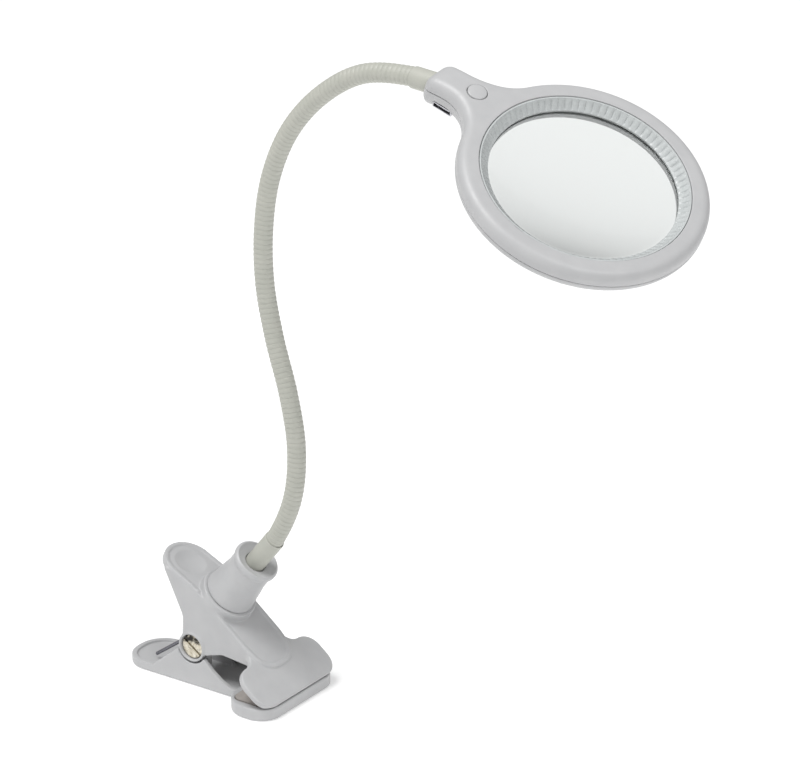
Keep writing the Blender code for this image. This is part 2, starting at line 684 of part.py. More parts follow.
def make_lower_jaw(pivot):
    """Built about the pivot, in world directions."""
    drop = -PIVOT.z
    shift = -PIVOT.x
    body = lower_body_outline(0.0, LOWER_HEAD_BACK + 4 * MM)
    mesh = plate(body, LOWER_UNDER, LOWER_UNDER + LOWER_RIM)
    mesh.transform(Matrix.Translation((shift, 0, drop)))
    jaw = add_part("lower_jaw", mesh, "housing_plastic", pivot)

    well = lower_body_outline(LOWER_WALL, LOWER_HEAD_BACK - 1.5 * MM)
    place = (shift, 0, drop)
    cut(jaw, plate(well, LOWER_FLOOR_TOP, LOWER_UNDER + LOWER_RIM + THROUGH), location=place)

    head = rounded([
        (LOWER_HEAD_FRONT, JAW_HALF_WIDTH, 11 * MM), (LOWER_HEAD_BACK, JAW_HALF_WIDTH, 15 * MM),
        (LOWER_HEAD_BACK, -JAW_HALF_WIDTH, 15 * MM), (LOWER_HEAD_FRONT, -JAW_HALF_WIDTH, 11 * MM),
    ])
    join(jaw, plate(head, LOWER_UNDER - 0.1 * MM, LOWER_GRIP - 0.3 * MM), location=place)

    base = LOWER_FLOOR_TOP - BITE - PIVOT.z
    wall = lower_wall_outline(base)
    for side in (1, -1):
        near, far = sorted((side * (LOWER_HALF_WIDTH - LOWER_WALL), side * (LOWER_HALF_WIDTH - 0.1 * MM)))
        join(jaw, side_plate(wall, near, far))
    ear = [(EAR_RADIUS * math.cos(angle * DEG), EAR_RADIUS * math.sin(angle * DEG))
           for angle in range(0, 181, 15)]
    ear += [(-EAR_RADIUS - 3 * MM, base), (EAR_RADIUS + 1 * MM, base)]
    for side in (1, -1):
        near, far = sorted((side * EAR_INNER, side * EAR_OUTER))
        join(jaw, side_plate(ear, near, far))
    for side in (1, -1):
        near, far = sorted((side * (EAR_OUTER + 0.1 * MM), side * (LOWER_HALF_WIDTH + THROUGH)))
        cut(jaw, cross_cylinder(BOSS_CLEARANCE, near, far))
    cut(jaw, cross_cylinder(BARREL_RADIUS + FIT_GAP, -LOWER_HALF_WIDTH, LOWER_HALF_WIDTH))

    pocket = pad_outline(LOWER_HEAD_FRONT - 3 * MM, LOWER_HEAD_BACK + 4 * MM, FIT_GAP)
    floor = LOWER_GRIP - PAD_THICKNESS - REST_GAP
    cut(jaw, plate(pocket, floor, LOWER_GRIP + THROUGH), location=place)
    settle(jaw)
    smooth(jaw)


def make_lower_pad(pivot):
    outline = pad_outline(LOWER_HEAD_FRONT - 3 * MM, LOWER_HEAD_BACK + 4 * MM)
    mesh = plate(outline, LOWER_GRIP - PAD_THICKNESS, LOWER_GRIP)
    mesh.transform(Matrix.Translation(-PIVOT))
    add_part("lower_pad", mesh, "soft_pad", pivot)


def make_pivot_screw(pivot_axis):
    """Slotted screw from the right-hand side, its head in the boss."""
    under = BOSS_WEB_OUTER + REST_GAP
    tip = 6.0 * MM
    profile = [
        (0.0, under + SCREW_HEAD), (SCREW_HEAD_RADIUS - 0.5 * MM, under + SCREW_HEAD),
        (SCREW_HEAD_RADIUS, under + SCREW_HEAD - 0.5 * MM), (SCREW_HEAD_RADIUS, under),
        (SCREW_SHANK_RADIUS, under), (SCREW_SHANK_RADIUS, -tip), (0.0, -tip),
    ]
    mesh = turned(profile)
    screw = add_part("pivot_screw", mesh, "nickel", pivot_axis, rotation=(math.pi / 2, 0, 0))
    reach = SCREW_HEAD_RADIUS + THROUGH
    groove = box((-reach, -SLOT_WIDTH / 2, under + SCREW_HEAD - SLOT_DEPTH),
                 (reach, SLOT_WIDTH / 2, under + SCREW_HEAD + THROUGH))
    groove.transform(Matrix.Rotation(-35.0 * DEG, 4, "Z"))
    cut(screw, groove, pivot_axis, rotation=(math.pi / 2, 0, 0))
    smooth(screw)


def make_barrel_nut(pivot_axis):
    """Sleeve nut from the left-hand side that the pivot screw goes into."""
    under = BOSS_WEB_OUTER + REST_GAP
    end = -BOSS_WEB_OUTER + 0.6 * MM
    bore = SCREW_SHANK_RADIUS + FIT_GAP
    floor = 6.0 * MM + 1.5 * MM
    profile = [
        (0.0, under + SCREW_HEAD), (SCREW_HEAD_RADIUS - 0.5 * MM, under + SCREW_HEAD),
        (SCREW_HEAD_RADIUS, under + SCREW_HEAD - 0.5 * MM), (SCREW_HEAD_RADIUS, under),
        (BARREL_RADIUS, under), (BARREL_RADIUS, end), (bore, end), (bore, floor), (0.0, floor),
    ]
    nut = add_part("pivot_barrel_nut", turned(profile), "nickel", pivot_axis,
                   rotation=(-math.pi / 2, 0, 0))
    reach = SCREW_HEAD_RADIUS + THROUGH
    groove = box((-reach, -SLOT_WIDTH / 2, under + SCREW_HEAD - SLOT_DEPTH),
                 (reach, SLOT_WIDTH / 2, under + SCREW_HEAD + THROUGH))
    cut(nut, groove, pivot_axis, rotation=(-math.pi / 2, 0, 0))
    smooth(nut)


def make_spring(pivot_axis):
    """Torsion spring round the barrel, one leg under each handle."""
    leg_down = 216.0 * DEG
    leg_up = 137.0 * DEG
    turns = 2.0 * math.pi * COIL_TURNS
    start_angle = leg_down - math.pi / 2.0
    end_angle = leg_up + math.pi / 2.0
    sweep = turns - (start_angle - end_angle) % (2.0 * math.pi)
    half = EAR_INNER - WIRE_RADIUS - 0.7 * MM
    count = COIL_TURNS * 12
    points = []
    for index in range(count + 1):
        share = index / count
        angle = start_angle - sweep * share
        points.append((COIL_RADIUS * math.cos(angle), -half + 2.0 * half * share,
                       COIL_RADIUS * math.sin(angle)))
    low = Vector((math.cos(leg_down), 0, math.sin(leg_down)))
    high = Vector((math.cos(leg_up), 0, math.sin(leg_up)))
    points.insert(0, Vector(points[0]) + low * LOWER_LEG)
    points.append(Vector(points[-1]) + high * UPPER_LEG)
    add_part("clamp_spring", tube(points, WIRE_RADIUS), "spring_steel", pivot_axis)


# =============================================================================================
# neck
# =============================================================================================

def make_socket(arm):
    seat = FERRULE_RADIUS + FIT_GAP
    base, top = SOCKET_BASE, SOCKET_TOP
    floor = SOCKET_BASE + SOCKET_SEAT
    tail = TAIL_RADIUS + FIT_GAP
    profile = [
        (seat, top - 2.3 * MM), (SOCKET_RIM_RADIUS - 2.6 * MM, top - 0.9 * MM),
        (SOCKET_RIM_RADIUS - 1.2 * MM, top), (SOCKET_RIM_RADIUS, top - 1.1 * MM),
        (SOCKET_RIM_RADIUS, top - 2.6 * MM), (SOCKET_RIM_RADIUS - 1.1 * MM, top - 4.8 * MM),
        (SOCKET_WAIST_RADIUS, top - 8.5 * MM), (SOCKET_WAIST_RADIUS, top - 12.0 * MM),
        (SOCKET_WAIST_RADIUS + 0.9 * MM, base + 10.0 * MM),
        (SOCKET_BASE_RADIUS - 0.7 * MM, base + 3.5 * MM), (SOCKET_BASE_RADIUS, base),
        (SOCKET_BASE_RADIUS - 2.5 * MM, base), (SOCKET_WAIST_RADIUS - 1.7 * MM, floor - 2.5 * MM),
        (tail, floor - 2.5 * MM), (tail, floor), (seat, floor),
    ]
    socket = add_part("neck_socket", turned(profile, closed=True), "housing_plastic", arm,
                      location=(SOCKET_X, 0, 0))
    smooth(socket)


def make_socket_fasteners(arm):
    place = (SOCKET_X, 0, 0)
    inner = TAIL_RADIUS + FIT_GAP
    washer = plate(circle(WASHER_RADIUS), WASHER_TOP - WASHER_PLATE, WASHER_TOP, [circle(inner)])
    add_part("neck_washer", washer, "zinc_steel", arm, place)
    hexagon = circle(NUT_ACROSS_FLATS / 2.0 / math.cos(math.pi / 6.0), steps=6)
    nut = plate(hexagon, NUT_TOP - NUT_HEIGHT, NUT_TOP, [circle(inner, steps=SMALL_STEPS)])
    add_part("neck_nut", nut, "zinc_steel", arm, place)


def dome_profile(radius, joint):
    """Ball end about a joint at the given height, from its tip to the side of the piece."""
    rim = math.asin(radius / DOME_RADIUS)
    return [(DOME_RADIUS * math.sin(rim * index / 3), joint + DOME_RADIUS * math.cos(rim * index / 3))
            for index in range(4)]


def cup_profile(radius, inner=0.0):
    """Hollow end about a joint at height 0, from the side of the piece to its middle."""
    rim = math.asin(radius / CUP_RADIUS)
    end = math.asin(inner / CUP_RADIUS)
    points = []
    for index in range(4):
        angle = rim + (end - rim) * index / 3
        points.append((CUP_RADIUS * math.sin(angle), CUP_RADIUS * math.cos(angle)))
    return points


def make_base_ferrule(arm):
    """Plain collar seated in the socket, with a threaded tail down through the arm."""
    foot = NUT_TOP - NUT_HEIGHT - TAIL_PAST_NUT
    profile = dome_profile(FERRULE_RADIUS, FIRST_JOINT)
    profile += [(FERRULE_RADIUS, FERRULE_FOOT), (TAIL_RADIUS, FERRULE_FOOT), (TAIL_RADIUS, foot),
                (WIRE_BORE_RADIUS, foot), (WIRE_BORE_RADIUS, FIRST_JOINT - 6.0 * MM),
                (0.0, FIRST_JOINT - 6.0 * MM)]
    ferrule = add_part("base_ferrule", turned(profile, NECK_STEPS), "neck_sleeve", arm,
                       location=(SOCKET_X, 0, 0))
    smooth(ferrule)


def make_links():
    """Straight ball-ended links that stand in for the bending gooseneck."""
    profile = dome_profile(NECK_RADIUS, LINK_LENGTH) + cup_profile(NECK_RADIUS)
    mesh = turned(profile, NECK_STEPS)
    for index, (joint, lean) in enumerate(zip(neck_joints(), LINK_LEANS)):
        link = add_part(f"neck_link_{index + 1:02d}", mesh.copy(), "neck_sleeve",
                        location=joint, rotation=(0, lean * DEG, 0))
        smooth(link)


def make_head_ferrule(head):
    """Collar on the neck's upper end, with a tail held inside the stem."""
    cup = cup_rim(FERRULE_RADIUS)
    shoulder = cup + HEAD_FERRULE_SHOW + FERRULE_SEAT
    end = shoulder + HEAD_TAIL
    profile = [
        (0.0, end), (TAIL_RADIUS, end), (TAIL_RADIUS, shoulder), (FERRULE_RADIUS, shoulder),
        *cup_profile(FERRULE_RADIUS),
    ]
    ferrule = add_part("head_ferrule", turned(profile, NECK_STEPS), "neck_sleeve", head,
                       LAST_JOINT_IN_HEAD, (0, math.pi / 2.0 - FERRULE_TILT, 0))
    smooth(ferrule)


# =============================================================================================
# head
# =============================================================================================

def head_outline(inset):
    """Plan of the head: the ring, two hollow shoulders and the stem, drawn inset."""
    ring = RING_RADIUS - inset
    side = STEM_HALF_WIDTH - inset
    shoulder = SHOULDER_RADIUS + inset
    level = STEM_HALF_WIDTH + SHOULDER_RADIUS
    across = math.sqrt((RING_RADIUS + SHOULDER_RADIUS) ** 2 - level ** 2)
    meet = math.atan2(level, -across)
    corner = max(STEM_CORNER - inset, 0.5 * MM)
    end = STEM_END + inset
    points = arc((0, 0), ring, -meet, meet, 9.0 * DEG)
    points += arc((-across, level), shoulder, meet - math.pi, -math.pi / 2, ARC_STEP)[1:]
    points += arc((end + corner, side - corner), corner, math.pi / 2, math.pi, 30 * DEG)
    points += arc((end + corner, corner - side), corner, math.pi, 3 * math.pi / 2, 30 * DEG)
    points += arc((-across, -level), shoulder, math.pi / 2, math.pi - meet, ARC_STEP)[:-1]
    return points


def bend_stem(part, fall):
    """Cut a head piece into strips along the stem, then lower each point by fall(x, height)."""
    settle(part)
    work = bmesh.new()
    work.from_mesh(part.data)
    count = math.ceil((DROOP_START - STEM_END) / DROOP_STRIP)
    places = [DROOP_START - index * DROOP_STRIP for index in range(count)]
    for place in (DEEPEN_START, *places):
        bmesh.ops.bisect_plane(work, geom=[*work.verts, *work.edges, *work.faces],
                               plane_co=(place, 0, 0), plane_no=(1, 0, 0), dist=0.0000001)
    stem = [face for face in work.faces if face.calc_center_median().x < DEEPEN_START]
    bmesh.ops.triangulate(work, faces=stem)
    for vert in work.verts:
        vert.co.z -= fall(vert.co.x, vert.co.z)
    work.to_mesh(part.data)
    work.free()


def screw_places():
    """The four screws that hold the head together: two in the shoulders, two far round."""
    x, y = SHOULDER_SCREW
    far_x = FAR_SCREW_CIRCLE * math.cos(FAR_SCREW_ANGLE)
    far_y = FAR_SCREW_CIRCLE * math.sin(FAR_SCREW_ANGLE)
    return [(x, y), (x, -y), (far_x, far_y), (far_x, -far_y)]


def stem_hole():
    """Cutter for the upper ferrule's seat in the end of the stem."""
    mesh = cylinder(FERRULE_RADIUS + FIT_GAP, -THROUGH, FERRULE_SEAT + FIT_GAP, NECK_STEPS)
    mesh.transform(Matrix.Rotation(math.pi / 2.0 - FERRULE_TILT, 4, "Y"))
    return mesh


def make_top_shell(head):
    outer = plate(head_outline(0.0), PARTING, HEAD_TOP)
    shell = add_part("head_top_shell", round_rim(outer, HEAD_TOP, EDGE_ROUND), "housing_plastic", head)
    cut(shell, plate(head_outline(HEAD_WALL), PARTING - THROUGH, CAVITY_TOP))
    cut(shell, cylinder(OPENING_RADIUS, PARTING, HEAD_TOP + THROUGH, RING_STEPS))
    for x, y in screw_places():
        join(shell, cylinder(SCREW_BOSS_RADIUS, TOP_BOSS_FOOT, CAVITY_TOP + BITE, SMALL_STEPS),
             location=(x, y, 0))
        depth = TOP_BOSS_FOOT + HEAD_SCREW_REACH + 0.6 * MM
        cut(shell, cylinder(HEAD_SCREW_RADIUS + FIT_GAP, TOP_BOSS_FOOT - THROUGH, depth, SMALL_STEPS),
            location=(x, y, 0))
    bend_stem(shell, lambda x, height: droop(x))
    cut(shell, cylinder(BUTTON_RADIUS + FIT_GAP, CAVITY_TOP - THROUGH, HEAD_TOP + THROUGH),
        location=(BUTTON_X, 0, 0))
    cut(shell, stem_hole(), location=STEM_FACE)
    settle(shell)
    smooth(shell)


def make_bottom_shell(head):
    outer = plate(head_outline(0.0), HEAD_BOTTOM, BOTTOM_EDGE)
    shell = add_part("head_bottom_shell", round_rim(outer, HEAD_BOTTOM, UNDER_ROUND),
                     "housing_plastic", head)
    cut(shell, plate(head_outline(HEAD_WALL), CAVITY_FLOOR, BOTTOM_EDGE + THROUGH))
    hub = LENS_VIEW_RADIUS - SEAT_WIDTH
    rim = [
        (TUBE_OUTER, -REST_GAP), (TUBE_OUTER, LED_BOARD_UNDER - REST_GAP),
        (BOARD_LEDGE, LED_BOARD_UNDER - REST_GAP), (BOARD_LEDGE, CAVITY_FLOOR - BITE),
        (hub, CAVITY_FLOOR - BITE), (hub, SEAT_TOP), (TUBE_INNER, SEAT_TOP),
        (TUBE_INNER, -REST_GAP),
    ]
    join(shell, turned(rim, RING_STEPS, closed=True))
    cut(shell, cylinder(LENS_VIEW_RADIUS, HEAD_BOTTOM - THROUGH, THROUGH, RING_STEPS))
    for x, y in screw_places():
        top = BOTTOM_EDGE + 0.2 * MM
        join(shell, cylinder(LOWER_BOSS_RADIUS, CAVITY_FLOOR - BITE, top, SMALL_STEPS),
             location=(x, y, 0))
    bend_stem(shell, stem_bottom)
    for x, y in screw_places():
        sink = HEAD_BOTTOM + HEAD_SCREW_HEAD + 0.4 * MM
        cut(shell, cylinder(HEAD_SCREW_HEAD_RADIUS + FIT_GAP, HEAD_BOTTOM - THROUGH, sink, SMALL_STEPS),
            location=(x, y, 0))
        cut(shell, cylinder(HEAD_SCREW_RADIUS + FIT_GAP, HEAD_BOTTOM - THROUGH, BOTTOM_EDGE + THROUGH,
                            SMALL_STEPS), location=(x, y, 0))
    cut(shell, stem_hole(), location=STEM_FACE)
    cut(shell, inlet_opening(), location=INLET_PLACE, rotation=(0, -INLET_TILT, 0))
    settle(shell)
    smooth(shell)


def inlet_opening():
    """Slot in the side of the stem that the power plug goes into."""
    side = INLET_WIDTH / 2.0 + FIT_GAP
    tall = INLET_HEIGHT / 2.0 + FIT_GAP
    return box((-side, -STEM_HALF_WIDTH - 2 * THROUGH, -tall),
               (side, -STEM_HALF_WIDTH + INLET_LENGTH + 1.0 * MM, tall))


def make_light_guide(head):
    """Sloping ring between the housing and the lens, with a flange under the top shell."""
    outer = OPENING_RADIUS - FIT_GAP
    foot = LENS_TOP + REST_GAP
    toe = LENS_VIEW_RADIUS + 0.5 * MM
    profile = [
        (outer - 0.7 * MM, GUIDE_TOP), (outer, GUIDE_TOP), (outer, FLANGE_TOP),
        (GUIDE_FLANGE_RADIUS, FLANGE_TOP), (GUIDE_FLANGE_RADIUS, FLANGE_UNDER),
        (outer - 0.8 * MM, FLANGE_UNDER), (toe + 2.3 * MM, foot), (toe, foot), (toe, foot + 0.8 * MM),
    ]
    guide = add_part("light_guide", turned(profile, RING_STEPS, closed=True), "light_guide", head)
    smooth(guide, 25 * DEG)


def make_lens(head):
    """Thick lens, curved on both faces, with a flat rim that sits on the lens seat."""
    half = math.asin(LENS_VIEW_RADIUS / LENS_CURVE_RADIUS)
    count = 4
    bulge = []
    for index in range(count + 1):
        angle = half * index / count
        rise = LENS_CURVE_RADIUS * (math.cos(angle) - math.cos(half))
        bulge.append((LENS_CURVE_RADIUS * math.sin(angle), rise))
    profile = [(radius, LENS_TOP + rise) for radius, rise in bulge]
    profile += [(LENS_RADIUS, LENS_TOP), (LENS_RADIUS, LENS_UNDER)]
    profile += [(radius, LENS_UNDER - rise) for radius, rise in reversed(bulge)]
    lens = add_part("lens", turned(profile, RING_STEPS), "lens_glass", head)
    smooth(lens, 30 * DEG)


def make_led_board(head):
    board = plate(circle(LED_BOARD_OUTER, steps=RING_STEPS), LED_BOARD_UNDER, LED_BOARD_TOP,
                  [circle(TUBE_OUTER + FIT_GAP, steps=RING_STEPS)])
    part = add_part("led_board", board, "circuit_board", head)
    for x, y in screw_places()[2:]:
        cut(part, cylinder(LOWER_BOSS_RADIUS + FIT_GAP, LED_BOARD_UNDER - THROUGH,
                           LED_BOARD_TOP + THROUGH, SMALL_STEPS), location=(x, y, 0))


def make_leds(head):
    """LEDs standing on the board, each turned to face along its own radius."""
    base = LED_BOARD_TOP + REST_GAP
    depth, width, height = LED_SIZE
    low = (LED_CIRCLE - depth / 2, -width / 2, base)
    high = (LED_CIRCLE + depth / 2, width / 2, base + height)
    for index in range(LED_COUNT):
        angle = 2.0 * math.pi * (index + 0.5) / LED_COUNT
        add_part(f"led_{index + 1:02d}", box(low, high), "led_package", head, rotation=(0, 0, angle))


def make_head_screws(head):
    under = HEAD_BOTTOM + HEAD_SCREW_HEAD + 0.1 * MM
    top = TOP_BOSS_FOOT + HEAD_SCREW_REACH
    profile = [
        (0.0, top), (HEAD_SCREW_RADIUS, top), (HEAD_SCREW_RADIUS, under),
        (HEAD_SCREW_HEAD_RADIUS, under), (HEAD_SCREW_HEAD_RADIUS, under - HEAD_SCREW_HEAD),
        (0.0, under - HEAD_SCREW_HEAD),
    ]
    for index, (x, y) in enumerate(screw_places()):
        screw = add_part(f"head_screw_{index + 1}", turned(profile, SMALL_STEPS), "zinc_steel", head,
                         location=(x, y, 0))
        smooth(screw)


def make_button(button):
    """Push button: a low domed cap with a flange that the top shell holds in."""
    top = HEAD_TOP + BUTTON_PROUD
    flange_radius = BUTTON_RADIUS + 1.0 * MM
    flange_top = CAVITY_TOP - droop(BUTTON_X - flange_radius) - REST_GAP
    flange_under = flange_top - BUTTON_FLANGE
    profile = [
        (0.0, top), (BUTTON_RADIUS * 0.6, top - 0.12 * MM), (BUTTON_RADIUS - 0.3 * MM, top - 0.4 * MM),
        (BUTTON_RADIUS, top - 0.8 * MM), (BUTTON_RADIUS, flange_top),
        (flange_radius, flange_top), (flange_radius, flange_under),
        (PLUNGER_RADIUS, flange_under), (PLUNGER_RADIUS, button_foot()), (0.0, button_foot()),
    ]
    cap = add_part("power_button", turned(profile, 24), "housing_plastic", button)
    smooth(cap)


def switch_top():
    return CONTROL_BOARD_TOP + REST_GAP + SWITCH_HEIGHT + PLUNGER_HEIGHT


def button_foot():
    return switch_top() + BUTTON_TRAVEL + REST_GAP


def make_electronics(head):
    near, far = CONTROL_BOARD_X
    half = CONTROL_BOARD_HALF_WIDTH
    under = CONTROL_BOARD_TOP - BOARD_THICKNESS
    board = plate([(near, -half), (far, -half), (far, half), (near, half)], under, CONTROL_BOARD_TOP)
    add_part("control_board", board, "circuit_board", head)

    base = CONTROL_BOARD_TOP + REST_GAP
    side = SWITCH_SIZE / 2.0
    body = box((-side, -side, base), (side, side, base + SWITCH_HEIGHT))
    switch = add_part("tact_switch", body, "black_plastic", head, location=(BUTTON_X, 0, 0))
    join(switch, cylinder(PLUNGER_RADIUS, base + SWITCH_HEIGHT - BITE, switch_top(), SMALL_STEPS),
         location=(BUTTON_X, 0, 0))

    reach = INLET_WIDTH / 2.0
    tall = INLET_HEIGHT / 2.0
    mouth = -STEM_HALF_WIDTH + 0.4 * MM
    wall = 0.4 * MM
    turn = (0, -INLET_TILT, 0)
    inlet = add_part("power_inlet", box((-reach, mouth, -tall), (reach, mouth + INLET_LENGTH, tall)),
                     "zinc_steel", head, INLET_PLACE, turn)
    cut(inlet, box((-reach + wall, mouth - THROUGH, -tall + wall),
                   (reach - wall, mouth + INLET_LENGTH - 1.2 * MM, tall - wall)),
        location=INLET_PLACE, rotation=turn)
    tongue = box((-reach + 1.6 * MM, mouth + 1.0 * MM, -0.4 * MM),
                 (reach - 1.6 * MM, mouth + INLET_LENGTH - 0.8 * MM, 0.4 * MM))
    join(inlet, tongue, location=INLET_PLACE, rotation=turn)

    start = Vector((far + REST_GAP + 0.1 * MM, 0, CONTROL_BOARD_TOP - BOARD_THICKNESS / 2))
    finish = Vector((-LED_BOARD_OUTER + 1.5 * MM, 0, LED_BOARD_TOP + REST_GAP + LEAD_RADIUS))
    for index, side in enumerate((1, -1)):
        across = Vector((0, side * LEAD_SPREAD, 0))
        leave = Vector((start.x + 0.5 * MM, 0, start.z))
        arrive = Vector((start.x + 1.1 * MM, 0, finish.z))
        route = [spot + across for spot in (start, leave, arrive, finish)]
        add_part(f"led_lead_{index + 1}", tube(route, LEAD_RADIUS), "lead_insulation", head)


# =============================================================================================
# build
# =============================================================================================

clear_scene()
PARTS = make_collection("magnifying_lamp")
TOOLS = make_collection("cutters")
MATERIALS = make_materials()

arm_frame = add_empty("arm_frame", rotation=(0, ARM_SLOPE, 0))
pivot_frame = add_empty("pivot_frame", PIVOT)
jaw_hinge = add_empty("jaw_hinge", PIVOT)
head_frame = add_empty("head_frame", head_place(), HEAD_ROTATION)
button_frame = add_empty("button_frame", (BUTTON_X, 0, 0))
button_frame.parent = head_frame
bpy.context.view_layer.update()

make_upper_jaw(arm_frame)
make_upper_pad(arm_frame)
make_lower_jaw(jaw_hinge)
make_lower_pad(jaw_hinge)
make_pivot_screw(pivot_frame)
make_barrel_nut(pivot_frame)
make_spring(pivot_frame)
make_socket(arm_frame)
make_socket_fasteners(arm_frame)
make_base_ferrule(arm_frame)
make_links()
make_head_ferrule(head_frame)
make_top_shell(head_frame)
make_bottom_shell(head_frame)
make_light_guide(head_frame)
make_lens(head_frame)
make_led_board(head_frame)
make_leds(head_frame)
make_head_screws(head_frame)
make_button(button_frame)
make_electronics(head_frame)
bpy.context.view_layer.update()
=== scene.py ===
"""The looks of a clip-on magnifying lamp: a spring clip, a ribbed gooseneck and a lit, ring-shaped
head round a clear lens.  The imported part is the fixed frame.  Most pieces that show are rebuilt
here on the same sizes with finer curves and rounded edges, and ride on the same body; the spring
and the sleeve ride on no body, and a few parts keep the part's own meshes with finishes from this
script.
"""

import json
import math

import bmesh
import bpy
from mathutils import Euler, Matrix, Vector

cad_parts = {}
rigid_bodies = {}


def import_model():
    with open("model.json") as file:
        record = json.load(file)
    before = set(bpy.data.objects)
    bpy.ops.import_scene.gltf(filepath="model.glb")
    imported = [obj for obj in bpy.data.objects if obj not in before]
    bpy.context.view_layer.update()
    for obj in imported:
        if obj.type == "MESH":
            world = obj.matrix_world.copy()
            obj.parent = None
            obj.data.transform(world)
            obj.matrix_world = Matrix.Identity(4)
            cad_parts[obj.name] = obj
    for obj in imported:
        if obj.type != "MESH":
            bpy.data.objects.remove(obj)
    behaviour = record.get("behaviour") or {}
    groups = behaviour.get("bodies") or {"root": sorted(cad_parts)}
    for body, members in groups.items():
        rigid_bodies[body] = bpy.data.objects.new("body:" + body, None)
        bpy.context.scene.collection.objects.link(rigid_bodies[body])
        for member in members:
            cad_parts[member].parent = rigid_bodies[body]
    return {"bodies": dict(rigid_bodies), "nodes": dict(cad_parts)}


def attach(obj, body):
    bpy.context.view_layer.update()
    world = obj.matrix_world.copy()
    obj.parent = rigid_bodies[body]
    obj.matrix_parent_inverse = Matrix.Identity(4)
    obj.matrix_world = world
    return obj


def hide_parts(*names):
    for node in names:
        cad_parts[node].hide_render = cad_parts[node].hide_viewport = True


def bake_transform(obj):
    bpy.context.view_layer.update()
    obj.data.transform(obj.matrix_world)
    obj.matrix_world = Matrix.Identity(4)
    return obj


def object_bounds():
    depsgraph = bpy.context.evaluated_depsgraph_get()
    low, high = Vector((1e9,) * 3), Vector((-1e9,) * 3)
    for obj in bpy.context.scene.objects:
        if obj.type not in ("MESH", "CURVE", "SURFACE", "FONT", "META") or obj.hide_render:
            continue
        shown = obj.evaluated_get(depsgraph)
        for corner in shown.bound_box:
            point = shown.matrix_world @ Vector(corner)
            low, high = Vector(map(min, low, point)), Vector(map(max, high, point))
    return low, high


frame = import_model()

CAD_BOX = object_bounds()
MM = 0.001
DEG = math.pi / 180.0

# ---- how the part is laid out -------------------------------------------------------------
GAP = 0.3 * MM
THROUGH = 4.0 * MM
ARM_SLOPE = 38.3 * DEG
PIVOT = Vector((-45.2 * MM, 0.0, 7.6 * MM))
JAW_HALF_WIDTH = 31.0 * MM
PAD_HALF_WIDTH = 26.0 * MM
PAD_THICKNESS = 1.8 * MM
PAD_POCKET = 0.9 * MM

ARM_HALF_WIDTH = 14.8 * MM
ARM_START = -62.0 * MM
PLATEAU_END = -2.0 * MM
SKIRT_WALL = 2.7 * MM
JAW_FRONT = 14.4 * MM
JAW_BACK = -10.0 * MM
JAW_UNDER = PAD_THICKNESS - PAD_POCKET + GAP
JAW_TOP = JAW_UNDER + 3.2 * MM
ARM_TOP = JAW_TOP + 1.0 * MM
ARM_UNDER = ARM_TOP - 3.0 * MM
HANDLE_CENTRE = -73.4 * MM
HANDLE_RADIUS = 14.2 * MM
HANDLE_PLATE = 4.0 * MM
HANDLE_BEND_AT = -60.0 * MM
HANDLE_BEND = 12.0 * DEG
DISH_RADIUS = 9.4 * MM
DISH_DEPTH = 2.1 * MM
RIM_WIDTH = 2.3 * MM
RIM_HEIGHT = 0.7 * MM
PAD_FRONT = JAW_FRONT - 4.5 * MM

LOWER_HEIGHT = 6.4 * MM
LOWER_FLOOR = 3.0 * MM
LOWER_WALL = 2.8 * MM
LOWER_HALF_WIDTH = 15.7 * MM
LOWER_TIP = -90.8 * MM
LOWER_HEAD_BACK = -15.8 * MM
LOWER_HEAD_FRONT = 13.7 * MM
LOWER_RIM = 4.3 * MM

BOSS_RADIUS = 8.0 * MM
BOSS_OUTER = 15.6 * MM
BOSS_WEB_OUTER = 12.6 * MM
BOSS_WEB_INNER = 11.0 * MM
SCREW_HEAD_RADIUS = 6.4 * MM
SCREW_HEAD = 1.3 * MM
SCREW_SHANK_RADIUS = 2.6 * MM
SCREW_REACH = 6.0 * MM
SLOT_TURN = 35.0 * DEG
BARREL_RADIUS = 3.4 * MM
EAR_OUTER = BOSS_WEB_INNER - GAP
EAR_INNER = EAR_OUTER - 2.8 * MM
EAR_RADIUS = 7.5 * MM
WIRE_RADIUS = 0.9 * MM
COIL_RADIUS = 5.1 * MM
COIL_TURNS = 5
LOWER_LEG = 32.5 * MM
UPPER_LEG = 21.0 * MM

SOCKET_X = -47.0 * MM
PEDESTAL_RADIUS = 15.0 * MM
PEDESTAL_TOP = ARM_TOP + 3.8 * MM
SOCKET_BASE = PEDESTAL_TOP + GAP
SOCKET_TOP = SOCKET_BASE + 28.4 * MM
SOCKET_BASE_RADIUS = 13.4 * MM
SOCKET_WAIST_RADIUS = 11.1 * MM
SOCKET_RIM_RADIUS = 12.1 * MM
SOCKET_FLOOR = SOCKET_BASE + 12.0 * MM
FERRULE_RADIUS = 5.3 * MM
TAIL_RADIUS = 4.0 * MM
FIRST_JOINT = SOCKET_TOP + 16.7 * MM

NECK_RADIUS = 4.7 * MM
LINK_LENGTH = 27.9 * MM
LINK_LEANS = (24.5, 5.5, -9.5, -16.25, -11.25, -0.75, 9.75, 24.5, 41.75, 58.5, 82.25)
RIB_PITCH = 2.5 * MM
RIB_DEPTH = 0.30 * MM
NECK_SIDES = 36
SAMPLES_PER_RIB = 8
SLEEVE_IN_COLLAR = 4.0 * MM

